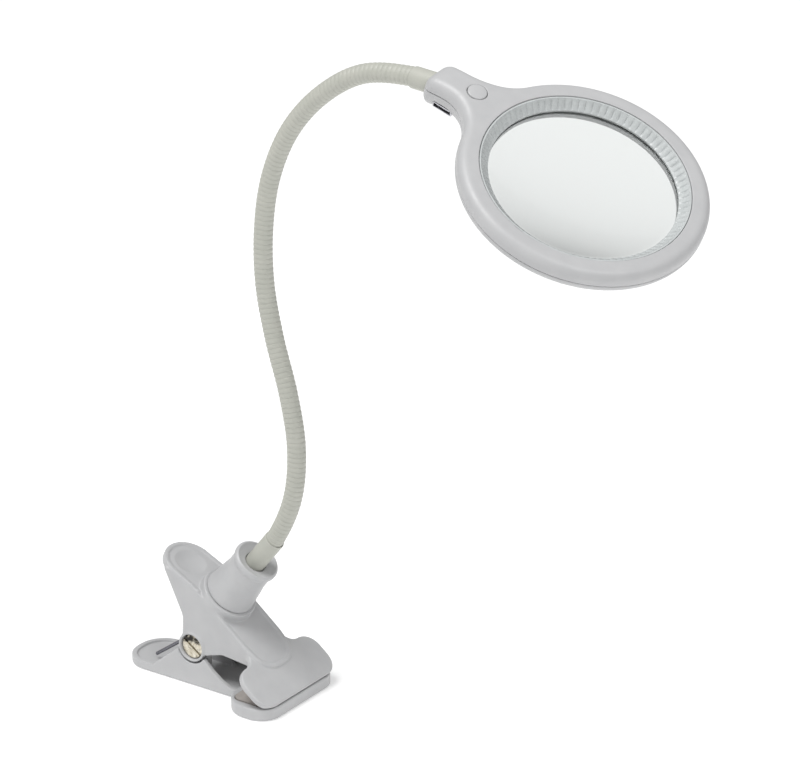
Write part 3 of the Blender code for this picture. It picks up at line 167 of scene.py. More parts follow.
HEAD_PITCH = 27.4 * DEG
HEAD_ROLL = 15.5 * DEG
HEAD_YAW = 1.5 * DEG
RING_RADIUS = 59.0 * MM
STEM_HALF_WIDTH = 9.0 * MM
STEM_END = -89.0 * MM
SHOULDER_RADIUS = 25.0 * MM
STEM_CORNER = 5.0 * MM
HEAD_TOP = 5.8 * MM
HEAD_BOTTOM = -6.6 * MM
PARTING = -1.0 * MM
BOTTOM_EDGE = PARTING - GAP
SEAM_LAP = 0.18 * MM
HEAD_WALL = 2.0 * MM
CAVITY_TOP = HEAD_TOP - HEAD_WALL
CAVITY_FLOOR = HEAD_BOTTOM + HEAD_WALL
EDGE_ROUND = 4.6 * MM
UNDER_ROUND = 4.9 * MM
OPENING_RADIUS = 49.7 * MM
DROOP_START = -62.0 * MM
DROOP_END = 21.0 * DEG
DEEPEN_START = -50.0 * MM
DEEPEN_SLOPE = 0.14
FERRULE_SHOW = 9.6 * MM
FERRULE_SEAT = 4.5 * MM
FERRULE_TILT = 25.0 * DEG
CUP_RADIUS = 5.9 * MM
LENS_RADIUS = 46.4 * MM
LENS_VIEW_RADIUS = 44.4 * MM
LENS_TOP = 0.2 * MM
LENS_UNDER = -2.0 * MM
LENS_CURVE_RADIUS = 326.0 * MM
SEAT_TOP = LENS_UNDER - GAP
TUBE_INNER = LENS_RADIUS + GAP
TUBE_OUTER = TUBE_INNER + 1.5 * MM
BOARD_LEDGE = TUBE_OUTER + 2.0 * MM
LED_BOARD_UNDER = -3.6 * MM
GUIDE_TOP = HEAD_TOP - 0.5 * MM
GUIDE_RIBS = 90
STEPS_PER_RIB = 10
RIB_RELIEF = 0.60 * MM
GUIDE_FLANGE = 1.6 * MM
GUIDE_FLANGE_RADIUS = 51.4 * MM
BUTTON_X = -65.4 * MM
BUTTON_RADIUS = 4.6 * MM
BUTTON_PROUD = 0.6 * MM
BUTTON_FLANGE = 0.6 * MM
BUTTON_FOOT = 1.2 * MM
PLUNGER_RADIUS = 1.6 * MM
SUNK_RADIUS = 2.5 * MM
SUNK_TO = HEAD_BOTTOM + 1.8 * MM
LOWER_BOSS_RADIUS = 3.3 * MM
SHOULDER_SCREW = (-58.5 * MM, 11.0 * MM)
FAR_SCREW_CIRCLE = 54.3 * MM
FAR_SCREW_ANGLE = 60.0 * DEG
INLET_PLACE = Vector((-75.5 * MM, 0.0, -8.9 * MM))
INLET_TILT = 9.0 * DEG
INLET_WIDTH = 10.5 * MM
INLET_HEIGHT = 2.8 * MM
INLET_LENGTH = 5.6 * MM

# ---- camera -------------------------------------------------------------------------------
CAMERA_AZIMUTH = 34.711 * DEG
CAMERA_ELEVATION = 21.608 * DEG
CAMERA_TARGET = Vector((74.37 * MM, -2.0 * MM, 173.65 * MM))
CAMERA_DISTANCE = 1.8
CAMERA_LENS = 170.1

# ---- smoothness ---------------------------------------------------------------------------
ARC_STEP = 4.0 * DEG
ROUND_STEPS = 96
RING_STEPS = 240
ROUND_SEGMENTS = 8
SAME_PLACE = 0.01 * MM
WELD = 0.001 * MM
VOXEL = 0.34 * MM


# ==== meshes ================================================================================

def arc(centre, radius, start, end, step=ARC_STEP):
    """Points on an arc, both ends included."""
    count = max(2, math.ceil(abs(end - start) / step))
    points = []
    for index in range(count + 1):
        angle = start + (end - start) * index / count
        points.append((centre[0] + radius * math.cos(angle), centre[1] + radius * math.sin(angle)))
    return points


def rounded(corners):
    """Closed outline from (x, y, radius) corners, each rounded by an arc."""
    outline = []
    for index, (x, y, radius) in enumerate(corners):
        here = Vector((x, y))
        if radius <= 0.0:
            outline.append((x, y))
            continue
        before = (Vector(corners[index - 1][:2]) - here).normalized()
        after = (Vector(corners[(index + 1) % len(corners)][:2]) - here).normalized()
        half = before.angle(after) / 2.0
        centre = here + (before + after).normalized() * (radius / math.sin(half))
        first = here + before * (radius / math.tan(half)) - centre
        last = here + after * (radius / math.tan(half)) - centre
        start = math.atan2(first.y, first.x)
        turn = (math.atan2(last.y, last.x) - start + math.pi) % (2.0 * math.pi) - math.pi
        outline.extend(arc(centre, radius, start, start + turn))
    return outline


def placed(name, data):
    """A new object in the scene."""
    item = bpy.data.objects.new(name, data)
    bpy.context.scene.collection.objects.link(item)
    return item


def settled(item):
    """The mesh that an object's modifiers or curve make.  The object is removed."""
    graph = bpy.context.evaluated_depsgraph_get()
    graph.update()
    mesh = bpy.data.meshes.new_from_object(item.evaluated_get(graph))
    bpy.data.objects.remove(item, do_unlink=True)
    return mesh


def mesh_of(curve):
    """Turn a curve into a mesh with its caps welded."""
    mesh = settled(placed("curve", curve))
    work = bmesh.new()
    work.from_mesh(mesh)
    bmesh.ops.remove_doubles(work, verts=work.verts, dist=WELD)
    bmesh.ops.recalc_face_normals(work, faces=work.faces)
    work.to_mesh(mesh)
    work.free()
    bpy.data.curves.remove(curve)
    return mesh


def spline_through(curve, points):
    spline = curve.splines.new("POLY")
    spline.points.add(len(points) - 1)
    for spot, point in zip(spline.points, points):
        spot.co = (*point, 1.0)
    return spline


def plate(outline, low, high):
    """Mesh of a flat outline in XY, between the heights low and high."""
    curve = bpy.data.curves.new("outline", "CURVE")
    curve.dimensions = "2D"
    curve.fill_mode = "BOTH"
    curve.extrude = (high - low) / 2.0
    spline_through(curve, [(x, y, 0.0) for x, y in outline]).use_cyclic_u = True
    return shifted(mesh_of(curve), z=(high + low) / 2.0)


def side_plate(outline, near, far):
    """Mesh of an outline in XZ, between two distances along Y."""
    return moved(plate(outline, -far, -near), Matrix.Rotation(math.pi / 2.0, 4, "X"))


def box(low, high):
    work = bmesh.new()
    bmesh.ops.create_cube(work, size=1.0)
    size = [high[axis] - low[axis] for axis in range(3)]
    middle = [(high[axis] + low[axis]) / 2.0 for axis in range(3)]
    bmesh.ops.scale(work, vec=size, verts=work.verts)
    bmesh.ops.translate(work, vec=middle, verts=work.verts)
    return finished(work, "box")


def cylinder(radius, low, high, steps=ROUND_STEPS):
    """Cylinder along Z."""
    work = bmesh.new()
    bmesh.ops.create_cone(work, cap_ends=True, segments=steps, radius1=radius, radius2=radius,
                          depth=high - low)
    bmesh.ops.translate(work, vec=(0, 0, (high + low) / 2.0), verts=work.verts)
    return finished(work, "cylinder")


def cross_cylinder(radius, low, high):
    """Cylinder along Y, between two distances along Y."""
    return moved(cylinder(radius, low, high), Matrix.Rotation(-math.pi / 2.0, 4, "X"))


def finished(work, name):
    mesh = bpy.data.meshes.new(name)
    work.to_mesh(mesh)
    work.free()
    return mesh


def turned(profile, steps=ROUND_STEPS, closed=False):
    """Solid of revolution about Z.  The profile of (radius, height) runs down its outer side."""
    work = bmesh.new()
    spots = [work.verts.new((radius, 0.0, height)) for radius, height in profile]
    for first, second in zip(spots, spots[1:]):
        work.edges.new((first, second))
    if closed:
        work.edges.new((spots[-1], spots[0]))
    item = placed("turned", finished(work, "profile"))
    screw = item.modifiers.new("screw", "SCREW")
    screw.steps = steps
    screw.render_steps = steps
    screw.use_merge_vertices = True
    screw.merge_threshold = SAME_PLACE
    return settled(item)


def turn_about(point, angle):
    """Rotation about a line along Y through a point."""
    shift = Matrix.Translation(point)
    return shift @ Matrix.Rotation(angle, 4, "Y") @ shift.inverted()


def round_rim(mesh, height, width):
    """Round the flat outer rim of a plate whose face lies at the given height."""
    work = bmesh.new()
    work.from_mesh(mesh)
    bmesh.ops.dissolve_limit(work, angle_limit=DEG / 2.0, verts=work.verts, edges=work.edges)
    rim = []
    for edge in work.edges:
        level = all(abs(vert.co.z - height) < SAME_PLACE for vert in edge.verts)
        if level and edge.calc_face_angle(0.0) > 60.0 * DEG:
            rim.append(edge)
    bmesh.ops.bevel(work, geom=rim, offset=width, segments=ROUND_SEGMENTS, profile=0.5,
                    affect="EDGES", clamp_overlap=False)
    bmesh.ops.triangulate(work, faces=work.faces)
    work.to_mesh(mesh)
    work.free()
    return mesh


def moved(mesh, matrix):
    mesh.transform(matrix)
    return mesh


def shifted(mesh, x=0.0, y=0.0, z=0.0):
    return moved(mesh, Matrix.Translation((x, y, z)))


def combined(mesh, tools, operation):
    """One boolean of the mesh with each tool in turn."""
    for tool in tools:
        item, other = placed("work", mesh), placed("tool", tool)
        modifier = item.modifiers.new("boolean", "BOOLEAN")
        modifier.object = other
        modifier.operation = operation
        modifier.solver = "EXACT"
        mesh = settled(item)
        bpy.data.objects.remove(other, do_unlink=True)
    return mesh


def joined(mesh, *tools):
    return combined(mesh, tools, "UNION")


def cut(mesh, *tools):
    return combined(mesh, tools, "DIFFERENCE")


def moulded(mesh, passes):
    """Round every edge a little, as a moulding has it, and make the surface even."""
    item = placed("work", mesh)
    remesh = item.modifiers.new("remesh", "REMESH")
    remesh.mode = "VOXEL"
    remesh.voxel_size = VOXEL
    relax = item.modifiers.new("relax", "SMOOTH")
    relax.factor = 0.5
    relax.iterations = passes
    return settled(item)


def bevelled(mesh, width, segments=3):
    """Round the sharp edges of a clean mesh."""
    item = placed("work", mesh)
    bevel = item.modifiers.new("bevel", "BEVEL")
    bevel.width = width
    bevel.segments = segments
    bevel.limit_method = "ANGLE"
    bevel.angle_limit = 35.0 * DEG
    return settled(item)


def swept(points, radii, sides, up=Vector((0.0, 1.0, 0.0))):
    """Closed round tube along a line in the plane across `up`, with a radius for each point."""
    work = bmesh.new()
    rings = []
    for index, point in enumerate(points):
        before = points[max(index - 1, 0)]
        after = points[min(index + 1, len(points) - 1)]
        side = up.cross((after - before).normalized()).normalized()
        ring = []
        for step in range(sides):
            angle = 2.0 * math.pi * step / sides
            offset = side * math.cos(angle) + up * math.sin(angle)
            ring.append(work.verts.new(point + offset * radii[index]))
        rings.append(ring)
    for low, high in zip(rings, rings[1:]):
        for step in range(sides):
            follow = (step + 1) % sides
            work.faces.new((low[step], low[follow], high[follow], high[step]))
    work.faces.new(list(reversed(rings[0])))
    work.faces.new(rings[-1])
    bmesh.ops.recalc_face_normals(work, faces=work.faces)
    return finished(work, "swept")


def wire(points, radius):
    """Round wire through the points."""
    curve = bpy.data.curves.new("wire", "CURVE")
    curve.dimensions = "3D"
    curve.bevel_depth = radius
    curve.bevel_resolution = 6
    curve.use_fill_caps = True
    spline_through(curve, points)
    return mesh_of(curve)


# ==== places ================================================================================

def arm_to_world(x, z):
    return Vector((x * math.cos(ARM_SLOPE) + z * math.sin(ARM_SLOPE), 0.0,
                   z * math.cos(ARM_SLOPE) - x * math.sin(ARM_SLOPE)))


def world_to_arm(point):
    return Vector((point.x * math.cos(ARM_SLOPE) - point.z * math.sin(ARM_SLOPE), 0.0,
                   point.x * math.sin(ARM_SLOPE) + point.z * math.cos(ARM_SLOPE)))


def droop(x):
    """How far the stem has curved down at x."""
    if x >= DROOP_START:
        return 0.0
    rate = math.tan(DROOP_END) / (2.0 * (DROOP_START - STEM_END))
    return rate * (DROOP_START - x) ** 2


def stem_bottom(x, height):
    """How far a point of the lower shell moves down: the droop, and more the lower it lies."""
    share = min(max((PARTING - height) / (PARTING - HEAD_BOTTOM), 0.0), 1.0)
    return droop(x) + max(DEEPEN_START - x, 0.0) * DEEPEN_SLOPE * share


def neck_joints():
    """Places of the neck's joints, from the socket to the head."""
    places = [arm_to_world(SOCKET_X, FIRST_JOINT)]
    for lean in LINK_LEANS:
        step = Vector((math.sin(lean * DEG), 0.0, math.cos(lean * DEG))) * LINK_LENGTH
        places.append(places[-1] + step)
    return places


def ferrule_axis():
    """Direction of the upper ferrule in the head frame, from the neck into the stem."""
    return Vector((math.cos(FERRULE_TILT), 0.0, math.sin(FERRULE_TILT)))


PIVOT_IN_ARM = world_to_arm(PIVOT)
TIP_LEVEL = arm_to_world(PAD_FRONT, 0.0).z - 0.1 * MM
LOWER_GRIP = TIP_LEVEL - 0.4 * MM
LOWER_UNDER = LOWER_GRIP - LOWER_HEIGHT
LOWER_FLOOR_TOP = LOWER_UNDER + LOWER_FLOOR
STEM_END_TOP = HEAD_TOP - droop(STEM_END)
STEM_END_BOTTOM = HEAD_BOTTOM - stem_bottom(STEM_END, HEAD_BOTTOM)
STEM_FACE = Vector((STEM_END, 0.0, (STEM_END_TOP + STEM_END_BOTTOM) / 2.0))
FERRULE_CUP = math.sqrt(CUP_RADIUS ** 2 - FERRULE_RADIUS ** 2)
LAST_JOINT_IN_HEAD = STEM_FACE - ferrule_axis() * (FERRULE_SHOW + FERRULE_CUP)
HEAD_ROTATION = Euler((HEAD_ROLL, HEAD_PITCH, HEAD_YAW), "XYZ")
HEAD_ORIGIN = neck_joints()[-1] - HEAD_ROTATION.to_matrix() @ LAST_JOINT_IN_HEAD

ARM = Matrix.Rotation(ARM_SLOPE, 4, "Y")
JAW = Matrix.Translation(PIVOT)
HEAD = Matrix.Translation(HEAD_ORIGIN) @ HEAD_ROTATION.to_matrix().to_4x4()
ALONG_FERRULE = Matrix.Translation(LAST_JOINT_IN_HEAD) @ Matrix.Rotation(
    math.pi / 2.0 - FERRULE_TILT, 4, "Y")
ALONG_PIVOT = Matrix.Rotation(math.pi / 2.0, 4, "X")


# ==== materials =============================================================================

class Surface:
    """A material's node tree, with the few kinds of node that the finishes here are made from."""

    def __init__(self, name, colour, roughness, metallic=0.0):
        self.material = bpy.data.materials.new(name)
        self.material.use_nodes = True
        self.tree = self.material.node_tree
        self.shader = self.tree.nodes["Principled BSDF"]
        self.set(Base_Color=(*colour, 1.0), Roughness=roughness, Metallic=metallic)
        self.place = self.tree.nodes.new("ShaderNodeTexCoord").outputs["Object"]
        self.height = None

    def set(self, **values):
        for socket, value in values.items():
            self.shader.inputs[socket.replace("_", " ")].default_value = value
        return self

    def feed(self, socket, source):
        self.tree.links.new(source, self.shader.inputs[socket])
        return self

    def node(self, kind, output, inputs, **settings):
        """Add a node and give its output.  An input is a plain value or another node's output."""
        node = self.tree.nodes.new("ShaderNode" + kind)
        for name, value in settings.items():
            setattr(node, name, value)
        for name, value in inputs.items():
            if isinstance(value, bpy.types.NodeSocket):
                self.tree.links.new(value, node.inputs[name])
            else:
                node.inputs[name].default_value = value
        return node.outputs[output]

    def stretched(self, scale):
        return self.node("Mapping", "Vector", {"Vector": self.place, "Scale": scale})

    def noise(self, size, detail=3.0, place=None):
        """Cloudy pattern whose blotches are about `size` across."""
        return self.node("TexNoise", "Fac", {"Scale": 1.0 / size, "Detail": detail,
                                             "Vector": place or self.place})

    def grains(self, size):
        """Pebbly pattern, as a spark-eroded mould leaves it."""
        return self.node("TexVoronoi", "Distance", {"Scale": 1.0 / size, "Vector": self.place})

    def ramp(self, fac, low, high, start=0.3, end=0.7):
        return self.node("MapRange", "Result", {"Value": fac, "From Min": start, "From Max": end,
                                                "To Min": low, "To Max": high})

    def mixed(self, fac, first, second):
        return self.node("Mix", "Result", {"Factor": fac, "A": first, "B": second},
                         data_type="RGBA")

    def colours(self, fac, first, second):
        return self.feed("Base Color", self.mixed(fac, (*first, 1.0), (*second, 1.0)))

    def painted_shade_above(self, height, spread):
        """Uneven patch that covers what lies above a height, fading in over `spread`."""
        level = self.node("SeparateXYZ", "Z", {"Vector": self.place})
        level = self.ramp(level, 0.0, 1.0, height, height + spread)
        wobble = self.ramp(self.noise(1.8 * MM), -0.55, 0.55)
        return self.node("Math", "Value", {0: level, 1: wobble}, use_clamp=True)

    def darkened(self, fac, colour):
        """Lay a darker colour over the base colour where the pattern is strong."""
        base = self.shader.inputs["Base Color"].links[0].from_socket
        return self.feed("Base Color", self.mixed(fac, base, (*colour, 1.0)))

    def roughness(self, fac, low, high):
        return self.feed("Roughness", self.ramp(fac, low, high))

    def bump(self, fac, depth, strength=1.0):
        inputs = {"Height": fac, "Distance": depth, "Strength": strength}
        if self.height is not None:
            inputs["Normal"] = self.height
        self.height = self.node("Bump", "Normal", inputs)
        return self.feed("Normal", self.height)


def clouded(name, first, second, size, detail=3.0, roughness=0.4, metallic=0.0, edges=(0.3, 0.7)):
    """Surface whose colour drifts between two tones, in clouds about `size` across."""
    made = Surface(name, first, roughness, metallic)
    return made.colours(made.ramp(made.noise(size, detail), 0.0, 1.0, *edges), first, second)


def housing_plastic():
    """Satin light grey moulding with the faint grain of its mould."""
    made = clouded("housing_plastic", (0.470, 0.473, 0.480), (0.500, 0.502, 0.507), 9.0 * MM)
    made.roughness(made.noise(2.5 * MM), 0.36, 0.47)
    made.bump(made.grains(0.30 * MM), 0.010 * MM, 0.6)
    made.bump(made.noise(6.0 * MM, 1.0), 0.05 * MM, 0.35)
    return made.set(IOR=1.49)


def button_plastic():
    made = clouded("button_plastic", (0.490, 0.493, 0.500), (0.515, 0.517, 0.522), 5.0 * MM,
                   roughness=0.36)
    return made.bump(made.grains(0.22 * MM), 0.006 * MM, 0.5).set(IOR=1.49)


def neck_sleeve():
    """Soft vinyl, creamier and greener than the mouldings, a little grimy."""
    made = clouded("neck_sleeve", (0.440, 0.447, 0.398), (0.478, 0.480, 0.430), 7.0 * MM, 4.0)
    made.roughness(made.noise(1.6 * MM), 0.42, 0.56)
    return made.bump(made.noise(0.5 * MM), 0.02 * MM, 0.5).set(IOR=1.52)


def soft_pad():
    """Rubber sheet with a fine pebbled face."""
    made = clouded("soft_pad", (0.34, 0.315, 0.295), (0.39, 0.36, 0.335), 3.0 * MM)
    made.roughness(made.noise(0.8 * MM), 0.72, 0.88)
    return made.bump(made.grains(0.45 * MM), 0.05 * MM, 0.8)


def nickel_brass():
    """Nickel-plated brass, warm, with turning marks and tarnish, and painted shade that makes its
    upper part darkest.
    """
    made = clouded("nickel_brass", (0.70, 0.66, 0.56), (0.50, 0.45, 0.35), 2.2 * MM, 4.0,
                   metallic=1.0, edges=(0.35, 0.75))
    # painted shade: near black laid over the upper part of the screw heads, standing in for the
    # shadow and dark reflection there
    made.darkened(made.painted_shade_above(PIVOT.z + 1.2 * MM, 2.2 * MM), (0.035, 0.033, 0.030))
    made.roughness(made.noise(1.0 * MM), 0.24, 0.42)
    return made.bump(made.noise(0.25 * MM, 2.0, made.stretched((1.0, 0.05, 1.0))), 0.01 * MM, 0.5)


def spring_steel():
    """Dark drawn wire with lengthwise streaks."""
    made = clouded("spring_steel", (0.15, 0.15, 0.17), (0.30, 0.30, 0.33), 0.6 * MM, 4.0,
                   metallic=1.0)
    made.roughness(made.noise(0.8 * MM), 0.28, 0.50)
    return made.bump(made.noise(0.2 * MM), 0.01 * MM, 0.5)


def zinc_steel():
    made = clouded("zinc_steel", (0.48, 0.48, 0.51), (0.62, 0.62, 0.64), 1.5 * MM, 4.0,
                   metallic=1.0)
    made.roughness(made.noise(0.7 * MM), 0.26, 0.46)
    return made.bump(made.noise(0.3 * MM), 0.01 * MM, 0.5)


def light_guide_plastic():
    """Frosted clear plastic of the light ring."""
    made = clouded("light_guide", (0.50, 0.525, 0.525), (0.56, 0.585, 0.585), 4.0 * MM)
    made.roughness(made.noise(1.2 * MM), 0.20, 0.34)
    return made.bump(made.noise(2.5 * MM), 0.03 * MM, 0.4).set(IOR=1.49)


def lens_glass():
    """Clear acrylic with a slight grey-green tint and a few faint wipe marks."""
    made = Surface("lens_glass", (0.800, 0.820, 0.812), 0.0)
    made.roughness(made.noise(14.0 * MM, 2.0, made.stretched((1.0, 0.25, 1.0))), 0.0, 0.025)
    return made.set(IOR=1.49, Transmission_Weight=1.0)


def circuit_board():
    """Solder mask with the copper tracks just raised under it."""
    edges = (0.46, 0.54)
    made = clouded("circuit_board", (0.02, 0.13, 0.06), (0.05, 0.22, 0.11), 1.4 * MM, 2.0,
                   edges=edges)
    tracks = made.ramp(made.noise(1.4 * MM, 2.0), 0.0, 1.0, *edges)
    return made.bump(tracks, 0.02 * MM, 0.6)


def led_package():
    made = clouded("led_package", (0.82, 0.72, 0.30), (0.90, 0.84, 0.50), 0.8 * MM, roughness=0.30)
    return made.bump(made.noise(0.3 * MM), 0.01 * MM, 0.4)


def black_plastic():
    made = clouded("black_plastic", (0.022, 0.022, 0.024), (0.045, 0.045, 0.045), 1.0 * MM,
                   roughness=0.48)
    return made.bump(made.grains(0.25 * MM), 0.01 * MM, 0.6)


def lead_insulation():
    made = clouded("lead_insulation", (0.45, 0.025, 0.02), (0.56, 0.04, 0.03), 1.0 * MM,
                   roughness=0.45)
    return made.bump(made.noise(0.4 * MM), 0.01 * MM, 0.4)


FINISHES = {
    "light_guide": light_guide_plastic().material,
    **{make.__name__: make().material for make in (
        housing_plastic, button_plastic, neck_sleeve, soft_pad, nickel_brass, spring_steel,
        zinc_steel, lens_glass, circuit_board, led_package, black_plastic, lead_insulation)},
}


def show(name, mesh, slot, body, nodes, smooth_angle=None, finish=None):
    """A piece of the lamp: its mesh in the row frame, finish, body and the nodes it stands for."""
    piece = placed(name, mesh)
    mesh.name = name
    mesh.materials.clear()
    mesh.materials.append(FINISHES[finish or slot])
    mesh.shade_smooth()
    if smooth_angle is not None:
        mesh.set_sharp_from_angle(angle=smooth_angle)
    if body is not None:
        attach(piece, body)
    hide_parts(*nodes)
    return piece


# ==== clip ==================================================================================

def pad_outline(front, back, extra=0.0):
    corner = 5.0 * MM + extra
    half = PAD_HALF_WIDTH + extra
    return rounded([(front + extra, half, corner), (back - extra, half, corner),
                    (back - extra, -half, corner), (front + extra, -half, corner)])


def upper_skirt_outline():
    """Side wall of the upper arm in the arm frame, down to the pivot boss."""
    px, pz = PIVOT_IN_ARM.x, PIVOT_IN_ARM.z
    inside = ARM_TOP - 1.4 * MM
    return rounded([
        (JAW_BACK + 2.0 * MM, inside, 0),
        (HANDLE_BEND_AT, inside, 0),
        (HANDLE_CENTRE - 4.5 * MM, inside - 3.9 * MM, 0),
        (HANDLE_CENTRE - 4.5 * MM, JAW_UNDER - 2.6 * MM, 0),
        (px - 14.2 * MM, pz + 9.2 * MM, 9 * MM),
        (px - 8.0 * MM, pz + 0.5 * MM, 0),
        (px, pz, 0),
        (px + 8.2 * MM, pz + 2.8 * MM, 0),
        (px + 14.8 * MM, pz + 12.2 * MM, 7 * MM),
        (JAW_BACK - 3.0 * MM, -2.0 * MM, 0),
        (JAW_BACK + 3.0 * MM, JAW_UNDER + 0.6 * MM, 0),
    ])


def plateau_plate():
    corners = [
        (ARM_START, ARM_HALF_WIDTH, 0), (ARM_START, -ARM_HALF_WIDTH, 0),
        (PLATEAU_END - 16 * MM, -ARM_HALF_WIDTH, 5 * MM), (PLATEAU_END, -12.5 * MM, 11.5 * MM),
        (PLATEAU_END, 12.5 * MM, 11.5 * MM), (PLATEAU_END - 16 * MM, ARM_HALF_WIDTH, 5 * MM),
    ]
    return plate(rounded(corners), ARM_UNDER, ARM_TOP)


def jaw_head_plate():
    neck_in = ARM_HALF_WIDTH - 0.1 * MM
    corners = [
        (JAW_FRONT, JAW_HALF_WIDTH, 9 * MM), (JAW_BACK, JAW_HALF_WIDTH, 9 * MM),
        (JAW_BACK, neck_in, 7 * MM), (JAW_BACK - 16 * MM, neck_in, 0),
        (JAW_BACK - 16 * MM, -neck_in, 0), (JAW_BACK, -neck_in, 7 * MM),
        (JAW_BACK, -JAW_HALF_WIDTH, 9 * MM), (JAW_FRONT, -JAW_HALF_WIDTH, 9 * MM),
    ]
    return plate(rounded(corners), JAW_UNDER, JAW_TOP)


def handle_bend():
    return turn_about((HANDLE_BEND_AT, 0, ARM_TOP), -HANDLE_BEND)


def handle_grip():
    outline = arc((HANDLE_CENTRE, 0), HANDLE_RADIUS, math.pi / 2, 3 * math.pi / 2)
    outline += [(HANDLE_BEND_AT + 4 * MM, -ARM_HALF_WIDTH + 0.3 * MM),
                (HANDLE_BEND_AT + 4 * MM, ARM_HALF_WIDTH - 0.3 * MM)]
    top = ARM_TOP - 0.2 * MM
    return moved(plate(outline, top - HANDLE_PLATE, top), handle_bend())


def panel_cutter():
    """Shallow panel along the arm's top that leaves a raised rim round it."""
    side = ARM_HALF_WIDTH - RIM_WIDTH
    end = PLATEAU_END - RIM_WIDTH
    corners = [
        (ARM_START, side, 0), (ARM_START, -side, 0), (end - 15 * MM, -side, 5 * MM),
        (end, -10.4 * MM, 9.5 * MM), (end, 10.4 * MM, 9.5 * MM), (end - 15 * MM, side, 5 * MM),
    ]
    return plate(rounded(corners), ARM_TOP - RIM_HEIGHT, ARM_TOP + THROUGH)


def handle_panel_cutter():
    """The same panel in the handle, up to the pedestal."""
    side = ARM_HALF_WIDTH - RIM_WIDTH
    outline = arc((HANDLE_CENTRE, 0), HANDLE_RADIUS - RIM_WIDTH, math.pi / 2, 3 * math.pi / 2)
    outline += [(HANDLE_BEND_AT + 1 * MM, -side), (HANDLE_BEND_AT + 1 * MM, side)]
    top = ARM_TOP - 0.2 * MM
    return moved(plate(outline, top - RIM_HEIGHT, top + THROUGH), handle_bend())


def dish_cutter():
    """Shallow round bowl in the handle for the thumb."""
    sphere = (DISH_RADIUS ** 2 + DISH_DEPTH ** 2) / (2.0 * DISH_DEPTH)
    past_rim = 1.3 * math.asin(DISH_RADIUS / sphere)
    bowl = [(0.0, THROUGH), (sphere * math.sin(past_rim), THROUGH)]
    for index in range(16, -1, -1):
        angle = past_rim * index / 16
        bowl.append((sphere * math.sin(angle), sphere * (1 - math.cos(angle)) - DISH_DEPTH))
    return moved(shifted(turned(bowl), HANDLE_CENTRE, 0, ARM_TOP - 0.5 * MM), handle_bend())


def cross_at_pivot(radius, near, far):
    return shifted(cross_cylinder(radius, near, far), PIVOT_IN_ARM.x, 0, PIVOT_IN_ARM.z)


def pair(make, shape, near, far):
    """The same piece on both sides of the lamp's middle."""
    return [make(shape, near, far), make(shape, -far, -near)]


def make_upper_jaw():
    outer, inner = ARM_HALF_WIDTH - 0.1 * MM, ARM_HALF_WIDTH - SKIRT_WALL
    additions = [
        jaw_head_plate(), handle_grip(), *pair(side_plate, upper_skirt_outline(), inner, outer),
        *pair(cross_at_pivot, BOSS_RADIUS, BOSS_WEB_INNER, BOSS_OUTER),
    ]
    pedestal = shifted(cylinder(PEDESTAL_RADIUS, ARM_TOP - 1.2 * MM, PEDESTAL_TOP), SOCKET_X)
    sink = SCREW_HEAD_RADIUS + GAP
    outside = BOSS_OUTER + THROUGH
    pocket = pad_outline(PAD_FRONT, JAW_BACK + 1.5 * MM, GAP)
    tip = box((-0.02, -2 * JAW_HALF_WIDTH, TIP_LEVEL - 0.03), (0.05, 2 * JAW_HALF_WIDTH, TIP_LEVEL))
    cutters = [
        *pair(cross_at_pivot, sink, BOSS_WEB_OUTER, outside),
        cross_at_pivot(BARREL_RADIUS + GAP, -outside, outside),
        shifted(cylinder(TAIL_RADIUS + GAP, ARM_UNDER - THROUGH, PEDESTAL_TOP + THROUGH), SOCKET_X),
        dish_cutter(),
        plate(pocket, JAW_UNDER - THROUGH, JAW_UNDER + PAD_POCKET),
        moved(tip, ARM.inverted()),
    ]
    mesh = cut(joined(plateau_plate(), *additions), panel_cutter(), handle_panel_cutter())
    mesh = cut(joined(mesh, pedestal), *cutters)
    mesh = moved(moulded(mesh, 18), ARM)
    show("clip_upper_jaw", mesh, "housing_plastic", "upper_jaw", ["upper_jaw"])


def make_pad(name, mesh, body, node):
    show(name, bevelled(mesh, 0.25 * MM), "soft_pad", body, [node], 30 * DEG)


def make_pads():
    upper = plate(pad_outline(PAD_FRONT, JAW_BACK + 1.5 * MM), 0.0, PAD_THICKNESS)
    make_pad("clip_upper_pad", moved(upper, ARM), "upper_jaw", "upper_pad")
    outline = pad_outline(LOWER_HEAD_FRONT - 3 * MM, LOWER_HEAD_BACK + 4 * MM)
    make_pad("clip_lower_pad", plate(outline, LOWER_GRIP - PAD_THICKNESS, LOWER_GRIP), "lower_jaw",
             "lower_pad")


def lower_body_outline(inset, front):
    half = LOWER_HALF_WIDTH - inset
    corner = LOWER_HALF_WIDTH - 1.5 * MM - inset
    return rounded([(LOWER_TIP + inset, half, corner), (LOWER_TIP + inset, -half, corner),
                    (front, -half, 0), (front, half, 0)])


def lower_wall_outline(base):
    """Side wall of the lower jaw, about the pivot, rising from the base."""
    return rounded([
        (-26.0 * MM, base, 0), (-24.0 * MM, base + 3.0 * MM, 0), (-8.5 * MM, -2.6 * MM, 0),
        (0.0, -2.6 * MM, 0), (8.6 * MM, -5.4 * MM, 0), (13.0 * MM, -9.6 * MM, 4 * MM),
        (18.5 * MM, -13.6 * MM, 5 * MM), (26.0 * MM, base + 1.0 * MM, 0), (26.0 * MM, base, 0),
    ])


def lower_ear_outline(base):
    ear = arc((0.0, 0.0), EAR_RADIUS, 0.0, math.pi)
    return ear + [(-EAR_RADIUS - 3 * MM, base), (EAR_RADIUS + 1 * MM, base)]


def at_pivot(mesh):
    return moved(mesh, JAW)


